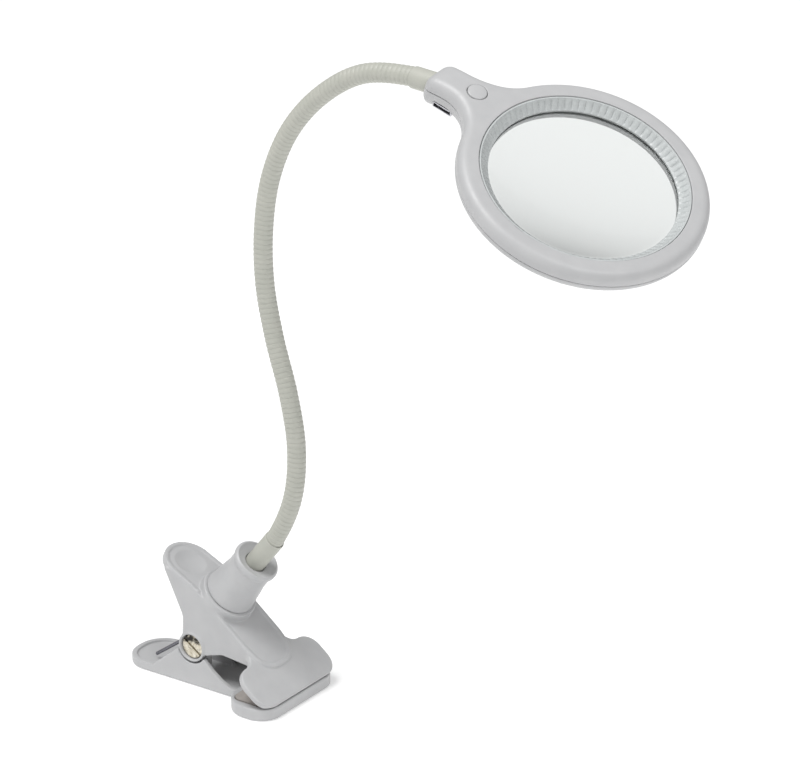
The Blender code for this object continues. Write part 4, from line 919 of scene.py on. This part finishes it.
def make_lower_jaw():
    body = plate(lower_body_outline(0.0, LOWER_HEAD_BACK + 4 * MM), LOWER_UNDER,
                 LOWER_UNDER + LOWER_RIM)
    well = plate(lower_body_outline(LOWER_WALL, LOWER_HEAD_BACK - 1.5 * MM), LOWER_FLOOR_TOP,
                 LOWER_UNDER + LOWER_RIM + THROUGH)
    head = plate(rounded([
        (LOWER_HEAD_FRONT, JAW_HALF_WIDTH, 11 * MM), (LOWER_HEAD_BACK, JAW_HALF_WIDTH, 15 * MM),
        (LOWER_HEAD_BACK, -JAW_HALF_WIDTH, 15 * MM), (LOWER_HEAD_FRONT, -JAW_HALF_WIDTH, 11 * MM),
    ]), LOWER_UNDER - 0.1 * MM, LOWER_GRIP - 0.3 * MM)
    base = LOWER_FLOOR_TOP - 0.5 * MM - PIVOT.z
    outer, inner = LOWER_HALF_WIDTH - 0.1 * MM, LOWER_HALF_WIDTH - LOWER_WALL
    wall, ear = lower_wall_outline(base), lower_ear_outline(base)
    sides = [*pair(side_plate, wall, inner, outer), *pair(side_plate, ear, EAR_INNER, EAR_OUTER)]
    room, past = BOSS_RADIUS + 3.0 * GAP, LOWER_HALF_WIDTH + THROUGH
    pocket = pad_outline(LOWER_HEAD_FRONT - 3 * MM, LOWER_HEAD_BACK + 4 * MM, GAP)
    holes = [*pair(cross_cylinder, room, EAR_OUTER + 0.1 * MM, past),
             cross_cylinder(BARREL_RADIUS + GAP, -LOWER_HALF_WIDTH, LOWER_HALF_WIDTH)]
    mesh = joined(cut(body, well), head, *map(at_pivot, sides))
    mesh = cut(mesh, *map(at_pivot, holes),
               plate(pocket, LOWER_GRIP - PAD_THICKNESS - GAP, LOWER_GRIP + THROUGH))
    show("clip_lower_jaw", moulded(mesh, 16), "housing_plastic", "lower_jaw",
         ["lower_jaw"])


def screw_slot(face):
    reach = SCREW_HEAD_RADIUS + THROUGH
    return box((-reach, -0.6 * MM, face - 0.7 * MM), (reach, 0.6 * MM, face + THROUGH))


def head_of_screw(under):
    """Outer part of a screw's profile: its slightly rounded head and the face under it."""
    face = under + SCREW_HEAD
    rim = arc((SCREW_HEAD_RADIUS - 0.5 * MM, face - 0.5 * MM), 0.5 * MM, math.pi / 2, 0.0, 20 * DEG)
    return [(0.0, face), *rim, (SCREW_HEAD_RADIUS, under)]


def make_pivot_screw():
    under = BOSS_WEB_OUTER + GAP
    profile = head_of_screw(under) + [
        (SCREW_SHANK_RADIUS, under), (SCREW_SHANK_RADIUS, -SCREW_REACH), (0.0, -SCREW_REACH)]
    slot = moved(screw_slot(under + SCREW_HEAD), Matrix.Rotation(-SLOT_TURN, 4, "Z"))
    mesh = bevelled(cut(turned(profile), slot), 0.08 * MM, 2)
    show("pivot_screw_head", moved(mesh, JAW @ ALONG_PIVOT), "nickel_brass", "upper_jaw",
         ["pivot_screw"], 30 * DEG)


def make_barrel_nut():
    under = BOSS_WEB_OUTER + GAP
    end = -BOSS_WEB_OUTER + 0.6 * MM
    bore = SCREW_SHANK_RADIUS + GAP
    floor = SCREW_REACH + 1.5 * MM
    profile = head_of_screw(under) + [(BARREL_RADIUS, under), (BARREL_RADIUS, end), (bore, end),
                                      (bore, floor), (0.0, floor)]
    mesh = bevelled(cut(turned(profile), screw_slot(under + SCREW_HEAD)), 0.08 * MM, 2)
    turn = Matrix.Rotation(-math.pi / 2.0, 4, "X")
    show("pivot_barrel", moved(mesh, JAW @ turn), "nickel_brass", "upper_jaw",
         ["pivot_barrel_nut"], 30 * DEG)


def make_spring():
    """Torsion spring round the barrel, one leg under each handle.  It rides on no body."""
    leg_down, leg_up = 216.0 * DEG, 137.0 * DEG
    start_angle, end_angle = leg_down - math.pi / 2.0, leg_up + math.pi / 2.0
    sweep = 2.0 * math.pi * COIL_TURNS - (start_angle - end_angle) % (2.0 * math.pi)
    half = EAR_INNER - WIRE_RADIUS - 0.7 * MM
    count = COIL_TURNS * 48
    points = []
    for index in range(count + 1):
        share = index / count
        angle = start_angle - sweep * share
        points.append((COIL_RADIUS * math.cos(angle), -half + 2.0 * half * share,
                       COIL_RADIUS * math.sin(angle)))
    low = Vector((math.cos(leg_down), 0, math.sin(leg_down)))
    high = Vector((math.cos(leg_up), 0, math.sin(leg_up)))
    points.insert(0, Vector(points[0]) + low * LOWER_LEG)
    points.append(Vector(points[-1]) + high * UPPER_LEG)
    piece = show("clip_spring", at_pivot(wire(points, WIRE_RADIUS)), "spring_steel", None,
                 ["clamp_spring"], 40 * DEG)
    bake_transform(piece)


# ==== neck ==================================================================================

def make_socket():
    """Tapered tower with a rolled rim, a sloping top and a plain round seat for the collar."""
    seat, tail = FERRULE_RADIUS + GAP, TAIL_RADIUS + GAP
    base, top = SOCKET_BASE, SOCKET_TOP
    waist, rim = SOCKET_WAIST_RADIUS, SOCKET_RIM_RADIUS
    profile = [
        (seat, top - 2.3 * MM), (rim - 2.6 * MM, top - 0.9 * MM), (rim - 1.2 * MM, top),
        (rim, top - 1.1 * MM), (rim, top - 2.6 * MM), (rim - 1.1 * MM, top - 4.8 * MM),
        (waist, top - 8.5 * MM), (waist, top - 12.0 * MM), (waist + 0.9 * MM, base + 10.0 * MM),
        (SOCKET_BASE_RADIUS - 0.7 * MM, base + 3.5 * MM), (SOCKET_BASE_RADIUS, base),
        (SOCKET_BASE_RADIUS - 2.5 * MM, base), (waist - 1.7 * MM, SOCKET_FLOOR - 2.5 * MM),
        (tail, SOCKET_FLOOR - 2.5 * MM), (tail, SOCKET_FLOOR), (seat, SOCKET_FLOOR),
    ]
    mesh = moulded(turned(profile, closed=True), 7)
    show("neck_socket_tower", moved(shifted(mesh, SOCKET_X), ARM), "housing_plastic", "upper_jaw",
         ["neck_socket"])


def collar(foot, end, bore_to):
    """Outer part of a collar's profile: rounded lip, side, and the bore that the sleeve enters."""
    lip = arc((FERRULE_RADIUS - 0.4 * MM, end - 0.4 * MM), 0.4 * MM, math.pi / 2, 0.0, 20 * DEG)
    inner = NECK_RADIUS + 0.12 * MM
    return [(inner, bore_to), (inner, end), *lip, (FERRULE_RADIUS, foot)]


def make_collars():
    foot = SOCKET_FLOOR + GAP
    end = FIRST_JOINT + 0.6 * MM
    nut_foot = ARM_UNDER - 2 * GAP - 6.2 * MM
    profile = collar(foot, end, end - SLEEVE_IN_COLLAR)
    profile += [(TAIL_RADIUS, foot), (TAIL_RADIUS, nut_foot), (0.0, nut_foot)]
    profile.insert(0, (0.0, end - SLEEVE_IN_COLLAR))
    mesh = moved(shifted(turned(profile), SOCKET_X), ARM)
    show("neck_lower_collar", mesh, "neck_sleeve", "upper_jaw", ["base_ferrule"], 35 * DEG)

    shoulder = FERRULE_CUP + FERRULE_SHOW + FERRULE_SEAT
    lip_at = FERRULE_CUP - 0.6 * MM
    tail = shoulder + 2.5 * MM
    profile = [(radius, -height)
               for radius, height in collar(-shoulder, -lip_at, -lip_at - SLEEVE_IN_COLLAR)]
    profile += [(TAIL_RADIUS, shoulder), (TAIL_RADIUS, tail), (0.0, tail)]
    profile.insert(0, (0.0, lip_at + SLEEVE_IN_COLLAR))
    mesh = moved(turned(profile), HEAD @ ALONG_FERRULE)
    show("neck_upper_collar", mesh, "neck_sleeve", "head", ["head_ferrule"], 35 * DEG)


def neck_line():
    """Points close together along the sleeve's middle, and the marks where its pieces meet.

    The line passes through every joint, and leaves each collar along that collar's axis.
    """
    joints = neck_joints()
    first = arm_to_world(SOCKET_X, FIRST_JOINT - LINK_LENGTH)
    last = joints[-1] + (HEAD_ROTATION.to_matrix() @ ferrule_axis()) * LINK_LENGTH
    spots = [first, *joints, last]
    spans = []
    for index in range(1, len(spots) - 2):
        spans.append([catmull(spots[index - 1:index + 3], step / 40) for step in range(41)])
    root = [first.lerp(joints[0], 1.0 - 2.6 * MM / LINK_LENGTH), joints[0]]
    tip = [joints[-1], joints[-1].lerp(last, (FERRULE_CUP + 1.4 * MM) / LINK_LENGTH)]
    return root, spans, tip


def catmull(spots, share):
    before, start, end, after = spots
    square, cube = share * share, share * share * share
    return 0.5 * (2.0 * start + (end - before) * share
                  + (2.0 * before - 5.0 * start + 4.0 * end - after) * square
                  + (3.0 * start - before - 3.0 * end + after) * cube)


def spaced(points, count):
    """The same line, cut into `count` equal steps."""
    lengths = [0.0]
    for first, second in zip(points, points[1:]):
        lengths.append(lengths[-1] + (second - first).length)
    made = []
    index = 0
    for step in range(count + 1):
        target = lengths[-1] * step / count
        while index < len(points) - 2 and lengths[index + 1] < target:
            index += 1
        share = (target - lengths[index]) / max(lengths[index + 1] - lengths[index], 1e-9)
        made.append(points[index].lerp(points[index + 1], share))
    return made


def line_length(points):
    return sum((second - first).length for first, second in zip(points, points[1:]))


def rib(phase):
    """Radius at a place along the sleeve: broad rounded ribs with narrow grooves between them."""
    crest = abs(math.sin(math.pi * phase)) ** 0.55
    return NECK_RADIUS + 0.05 * MM - RIB_DEPTH * (1.0 - crest)


def make_sleeve():
    """The gooseneck's ribbed sleeve, in one piece for each joint that it bends across.

    The twelve pieces ride on no body, so they do not follow the joints.
    """
    root, spans, tip = neck_line()
    names = ["upper_jaw"] + [f"neck_{index + 1:02d}" for index in range(len(LINK_LEANS))] + ["head"]
    halves = [span[:21] for span in spans], [span[20:] for span in spans]
    for index in range(len(names) - 1):
        before = root if index == 0 else halves[1][index - 1]
        after = tip if index == len(names) - 2 else halves[0][index]
        line = before + after[1:]
        samples = SAMPLES_PER_RIB * max(1, round(line_length(line) / RIB_PITCH))
        radii = [rib(step / SAMPLES_PER_RIB) for step in range(samples + 1)]
        mesh = swept(spaced(line, samples), radii, NECK_SIDES)
        nodes = [f"neck_link_{index:02d}"] if index else []
        piece = show(f"neck_sleeve_{index + 1:02d}", mesh, "neck_sleeve", None, nodes, 50 * DEG)
        start = before[0] if index else before[-1]
        end = after[-1] if index < len(names) - 2 else after[0]
        near, far = (names[index], start), (names[index + 1], end)
        if index < len(names) // 2:
            near, far = far, near
        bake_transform(piece)


# ==== head ==================================================================================

def head_outline(inset):
    """Plan of the head: the ring, two hollow shoulders and the stem, drawn inset."""
    ring = RING_RADIUS - inset
    side = STEM_HALF_WIDTH - inset
    shoulder = SHOULDER_RADIUS + inset
    level = STEM_HALF_WIDTH + SHOULDER_RADIUS
    across = math.sqrt((RING_RADIUS + SHOULDER_RADIUS) ** 2 - level ** 2)
    meet = math.atan2(level, -across)
    corner = max(STEM_CORNER - inset, 0.5 * MM)
    end = STEM_END + inset
    points = arc((0, 0), ring, -meet, meet, 2.0 * DEG)
    points += arc((-across, level), shoulder, meet - math.pi, -math.pi / 2, 3.0 * DEG)[1:]
    points += arc((end + corner, side - corner), corner, math.pi / 2, math.pi, 10 * DEG)
    points += arc((end + corner, corner - side), corner, math.pi, 3 * math.pi / 2, 10 * DEG)
    points += arc((-across, -level), shoulder, math.pi / 2, math.pi - meet, 3.0 * DEG)[:-1]
    return points


def bent_stem(mesh, fall):
    """Cut a head piece into fine strips along the stem, and lower each point by fall(x, height)."""
    work = bmesh.new()
    work.from_mesh(mesh)
    place = DEEPEN_START
    while place > STEM_END:
        bmesh.ops.bisect_plane(work, geom=[*work.verts, *work.edges, *work.faces],
                               plane_co=(place, 0, 0), plane_no=(1, 0, 0), dist=WELD / 10.0)
        place -= 1.5 * MM
    stem = [face for face in work.faces if face.calc_center_median().x < DEEPEN_START]
    bmesh.ops.triangulate(work, faces=stem)
    for vert in work.verts:
        vert.co.z -= fall(vert.co.x, vert.co.z)
    work.to_mesh(mesh)
    work.free()
    return mesh


def screw_places():
    x, y = SHOULDER_SCREW
    far_x = FAR_SCREW_CIRCLE * math.cos(FAR_SCREW_ANGLE)
    far_y = FAR_SCREW_CIRCLE * math.sin(FAR_SCREW_ANGLE)
    return [(x, y), (x, -y), (far_x, far_y), (far_x, -far_y)]


def stem_hole():
    """Cutter for the upper collar's seat in the end of the stem."""
    mesh = cylinder(FERRULE_RADIUS + GAP, -THROUGH, FERRULE_SEAT + GAP)
    turn = Matrix.Rotation(math.pi / 2.0 - FERRULE_TILT, 4, "Y")
    return moved(mesh, Matrix.Translation(STEM_FACE) @ turn)


def make_top_shell():
    outer = round_rim(plate(head_outline(0.0), PARTING - SEAM_LAP, HEAD_TOP), HEAD_TOP, EDGE_ROUND)
    inner = plate(head_outline(HEAD_WALL), PARTING - THROUGH, CAVITY_TOP)
    opening = cylinder(OPENING_RADIUS, PARTING - THROUGH, HEAD_TOP + THROUGH, RING_STEPS)
    mesh = bent_stem(cut(outer, inner, opening), lambda x, height: droop(x))
    button_hole = shifted(cylinder(BUTTON_RADIUS + GAP, CAVITY_TOP - THROUGH, HEAD_TOP + THROUGH),
                          BUTTON_X)
    mesh = moulded(cut(mesh, button_hole, stem_hole()), 4)
    show("head_top_cover", moved(mesh, HEAD), "housing_plastic", "head", ["head_top_shell"])


def lens_hub():
    hub = LENS_VIEW_RADIUS - 1.5 * MM
    return turned([
        (TUBE_OUTER, -GAP), (TUBE_OUTER, LED_BOARD_UNDER - GAP),
        (BOARD_LEDGE, LED_BOARD_UNDER - GAP), (BOARD_LEDGE, CAVITY_FLOOR - 0.5 * MM),
        (hub, CAVITY_FLOOR - 0.5 * MM), (hub, SEAT_TOP),
        (TUBE_INNER, SEAT_TOP), (TUBE_INNER, -GAP),
    ], RING_STEPS, closed=True)


def inlet_opening():
    side, tall = INLET_WIDTH / 2.0 + GAP, INLET_HEIGHT / 2.0 + GAP
    hole = box((-side, -STEM_HALF_WIDTH - 2 * THROUGH, -tall),
               (side, -STEM_HALF_WIDTH + INLET_LENGTH + 1.0 * MM, tall))
    return moved(hole, Matrix.Translation(INLET_PLACE) @ Matrix.Rotation(-INLET_TILT, 4, "Y"))


def make_bottom_shell():
    outer = round_rim(plate(head_outline(0.0), HEAD_BOTTOM, BOTTOM_EDGE), HEAD_BOTTOM, UNDER_ROUND)
    inner = plate(head_outline(HEAD_WALL), CAVITY_FLOOR, BOTTOM_EDGE + THROUGH)
    mesh = joined(cut(outer, inner), lens_hub())
    mesh = cut(mesh, cylinder(LENS_VIEW_RADIUS, HEAD_BOTTOM - THROUGH, THROUGH, RING_STEPS))
    top = BOTTOM_EDGE + 0.2 * MM
    posts = [shifted(cylinder(LOWER_BOSS_RADIUS, CAVITY_FLOOR - 0.5 * MM, top), x, y)
             for x, y in screw_places()]
    mesh = bent_stem(joined(mesh, *posts), stem_bottom)
    sinks = [shifted(cylinder(SUNK_RADIUS, HEAD_BOTTOM - THROUGH, SUNK_TO), x, y)
             for x, y in screw_places()]
    mesh = moulded(cut(mesh, *sinks, stem_hole(), inlet_opening()), 4)
    show("head_bottom_cover", moved(mesh, HEAD), "housing_plastic", "head", ["head_bottom_shell"])


def make_light_guide():
    """Sloping frosted ring with a fine rib for every few degrees of its face."""
    outer = OPENING_RADIUS - GAP
    foot = LENS_TOP + GAP
    toe = LENS_VIEW_RADIUS + 0.1 * MM
    flange_top = CAVITY_TOP - GAP
    top = (outer - 0.7 * MM, GUIDE_TOP)
    low = (toe, foot + 0.8 * MM)
    face = []
    for index in range(9):
        share = index / 8
        swell = math.sin(math.pi * min(max(share * 1.1 - 0.05, 0.0), 1.0)) ** 0.5
        face.append((low[0] + (top[0] - low[0]) * share, low[1] + (top[1] - low[1]) * share,
                     RIB_RELIEF * swell))
    flange_under = flange_top - GUIDE_FLANGE
    body = [(outer, GUIDE_TOP, 0.0), (outer, flange_top, 0.0),
            (GUIDE_FLANGE_RADIUS, flange_top, 0.0), (GUIDE_FLANGE_RADIUS, flange_under, 0.0),
            (outer - 0.8 * MM, flange_under, 0.0), (toe + 2.3 * MM, foot, 0.0), (toe, foot, 0.0)]
    show("head_light_ring", moved(ribbed_ring(face + body), HEAD), "light_guide", "head",
         ["light_guide"], 40 * DEG)


def ribbed_ring(profile):
    """Ring from a closed profile of (radius, height, relief); the relief sinks between the ribs."""
    work = bmesh.new()
    rings = []
    for step in range(GUIDE_RIBS * STEPS_PER_RIB):
        angle = 2.0 * math.pi * step / (GUIDE_RIBS * STEPS_PER_RIB)
        sink = 0.7 * (1.0 - abs(math.sin(math.pi * step / STEPS_PER_RIB)) ** 0.5)
        ring = []
        for radius, height, relief in profile:
            reach, drop = radius + relief * sink, height - relief * sink
            ring.append(work.verts.new((reach * math.cos(angle), reach * math.sin(angle), drop)))
        rings.append(ring)
    for index, ring in enumerate(rings):
        follow = rings[(index + 1) % len(rings)]
        for spot in range(len(ring)):
            after = (spot + 1) % len(ring)
            work.faces.new((ring[spot], follow[spot], follow[after], ring[after]))
    bmesh.ops.recalc_face_normals(work, faces=work.faces)
    return finished(work, "ring")


def make_lens():
    """Thick lens, curved on both faces, with a small chamfer round its rim."""
    half = math.asin(LENS_VIEW_RADIUS / LENS_CURVE_RADIUS)
    bulge = []
    for index in range(25):
        angle = half * index / 24
        rise = LENS_CURVE_RADIUS * (math.cos(angle) - math.cos(half))
        bulge.append((LENS_CURVE_RADIUS * math.sin(angle), rise))
    chamfer = 0.2 * MM
    profile = [(radius, LENS_TOP + rise) for radius, rise in bulge]
    profile += [(LENS_RADIUS - chamfer, LENS_TOP), (LENS_RADIUS, LENS_TOP - chamfer),
                (LENS_RADIUS, LENS_UNDER + chamfer), (LENS_RADIUS - chamfer, LENS_UNDER)]
    profile += [(radius, LENS_UNDER - rise) for radius, rise in reversed(bulge)]
    show("head_lens", moved(turned(profile, RING_STEPS), HEAD), "lens_glass", "head", ["lens"],
         20 * DEG)


def make_button():
    """Low domed push button with a softly rounded edge."""
    top = HEAD_TOP + BUTTON_PROUD
    flange_radius = BUTTON_RADIUS + 1.0 * MM
    flange_top = CAVITY_TOP - droop(BUTTON_X - flange_radius) - GAP
    dome = []
    for index in range(13):
        share = index / 12
        dome.append((BUTTON_RADIUS * 0.93 * share, top - 0.42 * MM * share ** 2.2))
    edge = [(BUTTON_RADIUS - 0.12 * MM, top - 0.58 * MM), (BUTTON_RADIUS, top - 0.85 * MM)]
    profile = dome + edge + [
        (BUTTON_RADIUS, flange_top), (flange_radius, flange_top),
        (flange_radius, flange_top - BUTTON_FLANGE), (PLUNGER_RADIUS, flange_top - BUTTON_FLANGE),
        (PLUNGER_RADIUS, BUTTON_FOOT), (0.0, BUTTON_FOOT),
    ]
    show("head_button", moved(shifted(turned(profile), BUTTON_X), HEAD), "housing_plastic",
         "power_button", ["power_button"], 35 * DEG, "button_plastic")


# ==== what stays as the part has it, and the room ===========================================

KEPT = {
    "neck_washer": "zinc_steel", "neck_nut": "zinc_steel", "led_board": "circuit_board",
    "control_board": "circuit_board", "tact_switch": "black_plastic", "power_inlet": "zinc_steel",
}


def finish_of(node):
    if node.startswith("led_lead"):
        return "lead_insulation"
    if node.startswith("head_screw"):
        return "zinc_steel"
    if node.startswith("led_") and node != "led_board":
        return "led_package"
    return KEPT.get(node)


def paint_kept_nodes():
    for node, item in frame["nodes"].items():
        finish = finish_of(node)
        if finish:
            item.data.materials.clear()
            item.data.materials.append(FINISHES[finish])


def add_camera():
    back = Vector((math.sin(CAMERA_AZIMUTH) * math.cos(CAMERA_ELEVATION),
                   -math.cos(CAMERA_AZIMUTH) * math.cos(CAMERA_ELEVATION),
                   math.sin(CAMERA_ELEVATION)))
    camera = placed("camera", bpy.data.cameras.new("camera"))
    camera.data.lens = CAMERA_LENS
    camera.data.sensor_width = 36.0
    camera.location = CAMERA_TARGET + back * CAMERA_DISTANCE
    camera.rotation_euler = back.to_track_quat("Z", "Y").to_euler()
    bpy.context.scene.camera = camera


def add_softbox(name, place, aim, size, power):
    light = placed(name, bpy.data.lights.new(name, "AREA"))
    light.data.shape = "DISK"
    light.data.size = size
    light.data.energy = power
    light.location = place
    light.rotation_euler = (Vector(place) - Vector(aim)).to_track_quat("Z", "Y").to_euler()


def add_floor():
    """Plain pale floor that the lamp stands on."""
    low = CAD_BOX[0]
    work = bmesh.new()
    bmesh.ops.create_grid(work, x_segments=2, y_segments=2, size=6.0)
    bmesh.ops.translate(work, vec=(0.0, 0.0, low.z - 0.2 * MM), verts=work.verts)
    floor = placed("floor", finished(work, "floor"))
    made = Surface("floor_paper", (0.90, 0.90, 0.90), 0.9)
    made.set(Emission_Color=(1.0, 1.0, 1.0, 1.0), Emission_Strength=0.22)
    made.bump(made.noise(1.0 * MM), 0.02 * MM, 0.3)
    floor.data.materials.append(made.material)


def add_light():
    world = bpy.data.worlds.new("studio")
    world.use_nodes = True
    sky = world.node_tree.nodes["Background"]
    sky.inputs["Color"].default_value = (1.0, 1.0, 1.0, 1.0)
    sky.inputs["Strength"].default_value = 0.38
    bpy.context.scene.world = world
    middle = (0.05, 0.0, 0.15)
    add_softbox("key", (-0.9, -1.3, 3.9), middle, 2.4, 118.0)
    add_softbox("fill", (2.6, -0.8, 3.0), middle, 2.2, 42.0)
    bpy.context.scene.view_settings.view_transform = "Standard"


def clear_default_items():
    kept = {item.name for item in (*frame["nodes"].values(), *frame["bodies"].values())}
    for item in list(bpy.data.objects):
        if item.name not in kept:
            bpy.data.objects.remove(item, do_unlink=True)


clear_default_items()
make_upper_jaw()
make_lower_jaw()
make_pads()
make_pivot_screw()
make_barrel_nut()
make_spring()
make_socket()
make_collars()
make_sleeve()
make_top_shell()
make_bottom_shell()
make_light_guide()
make_lens()
make_button()
paint_kept_nodes()
add_floor()
add_light()
add_camera()
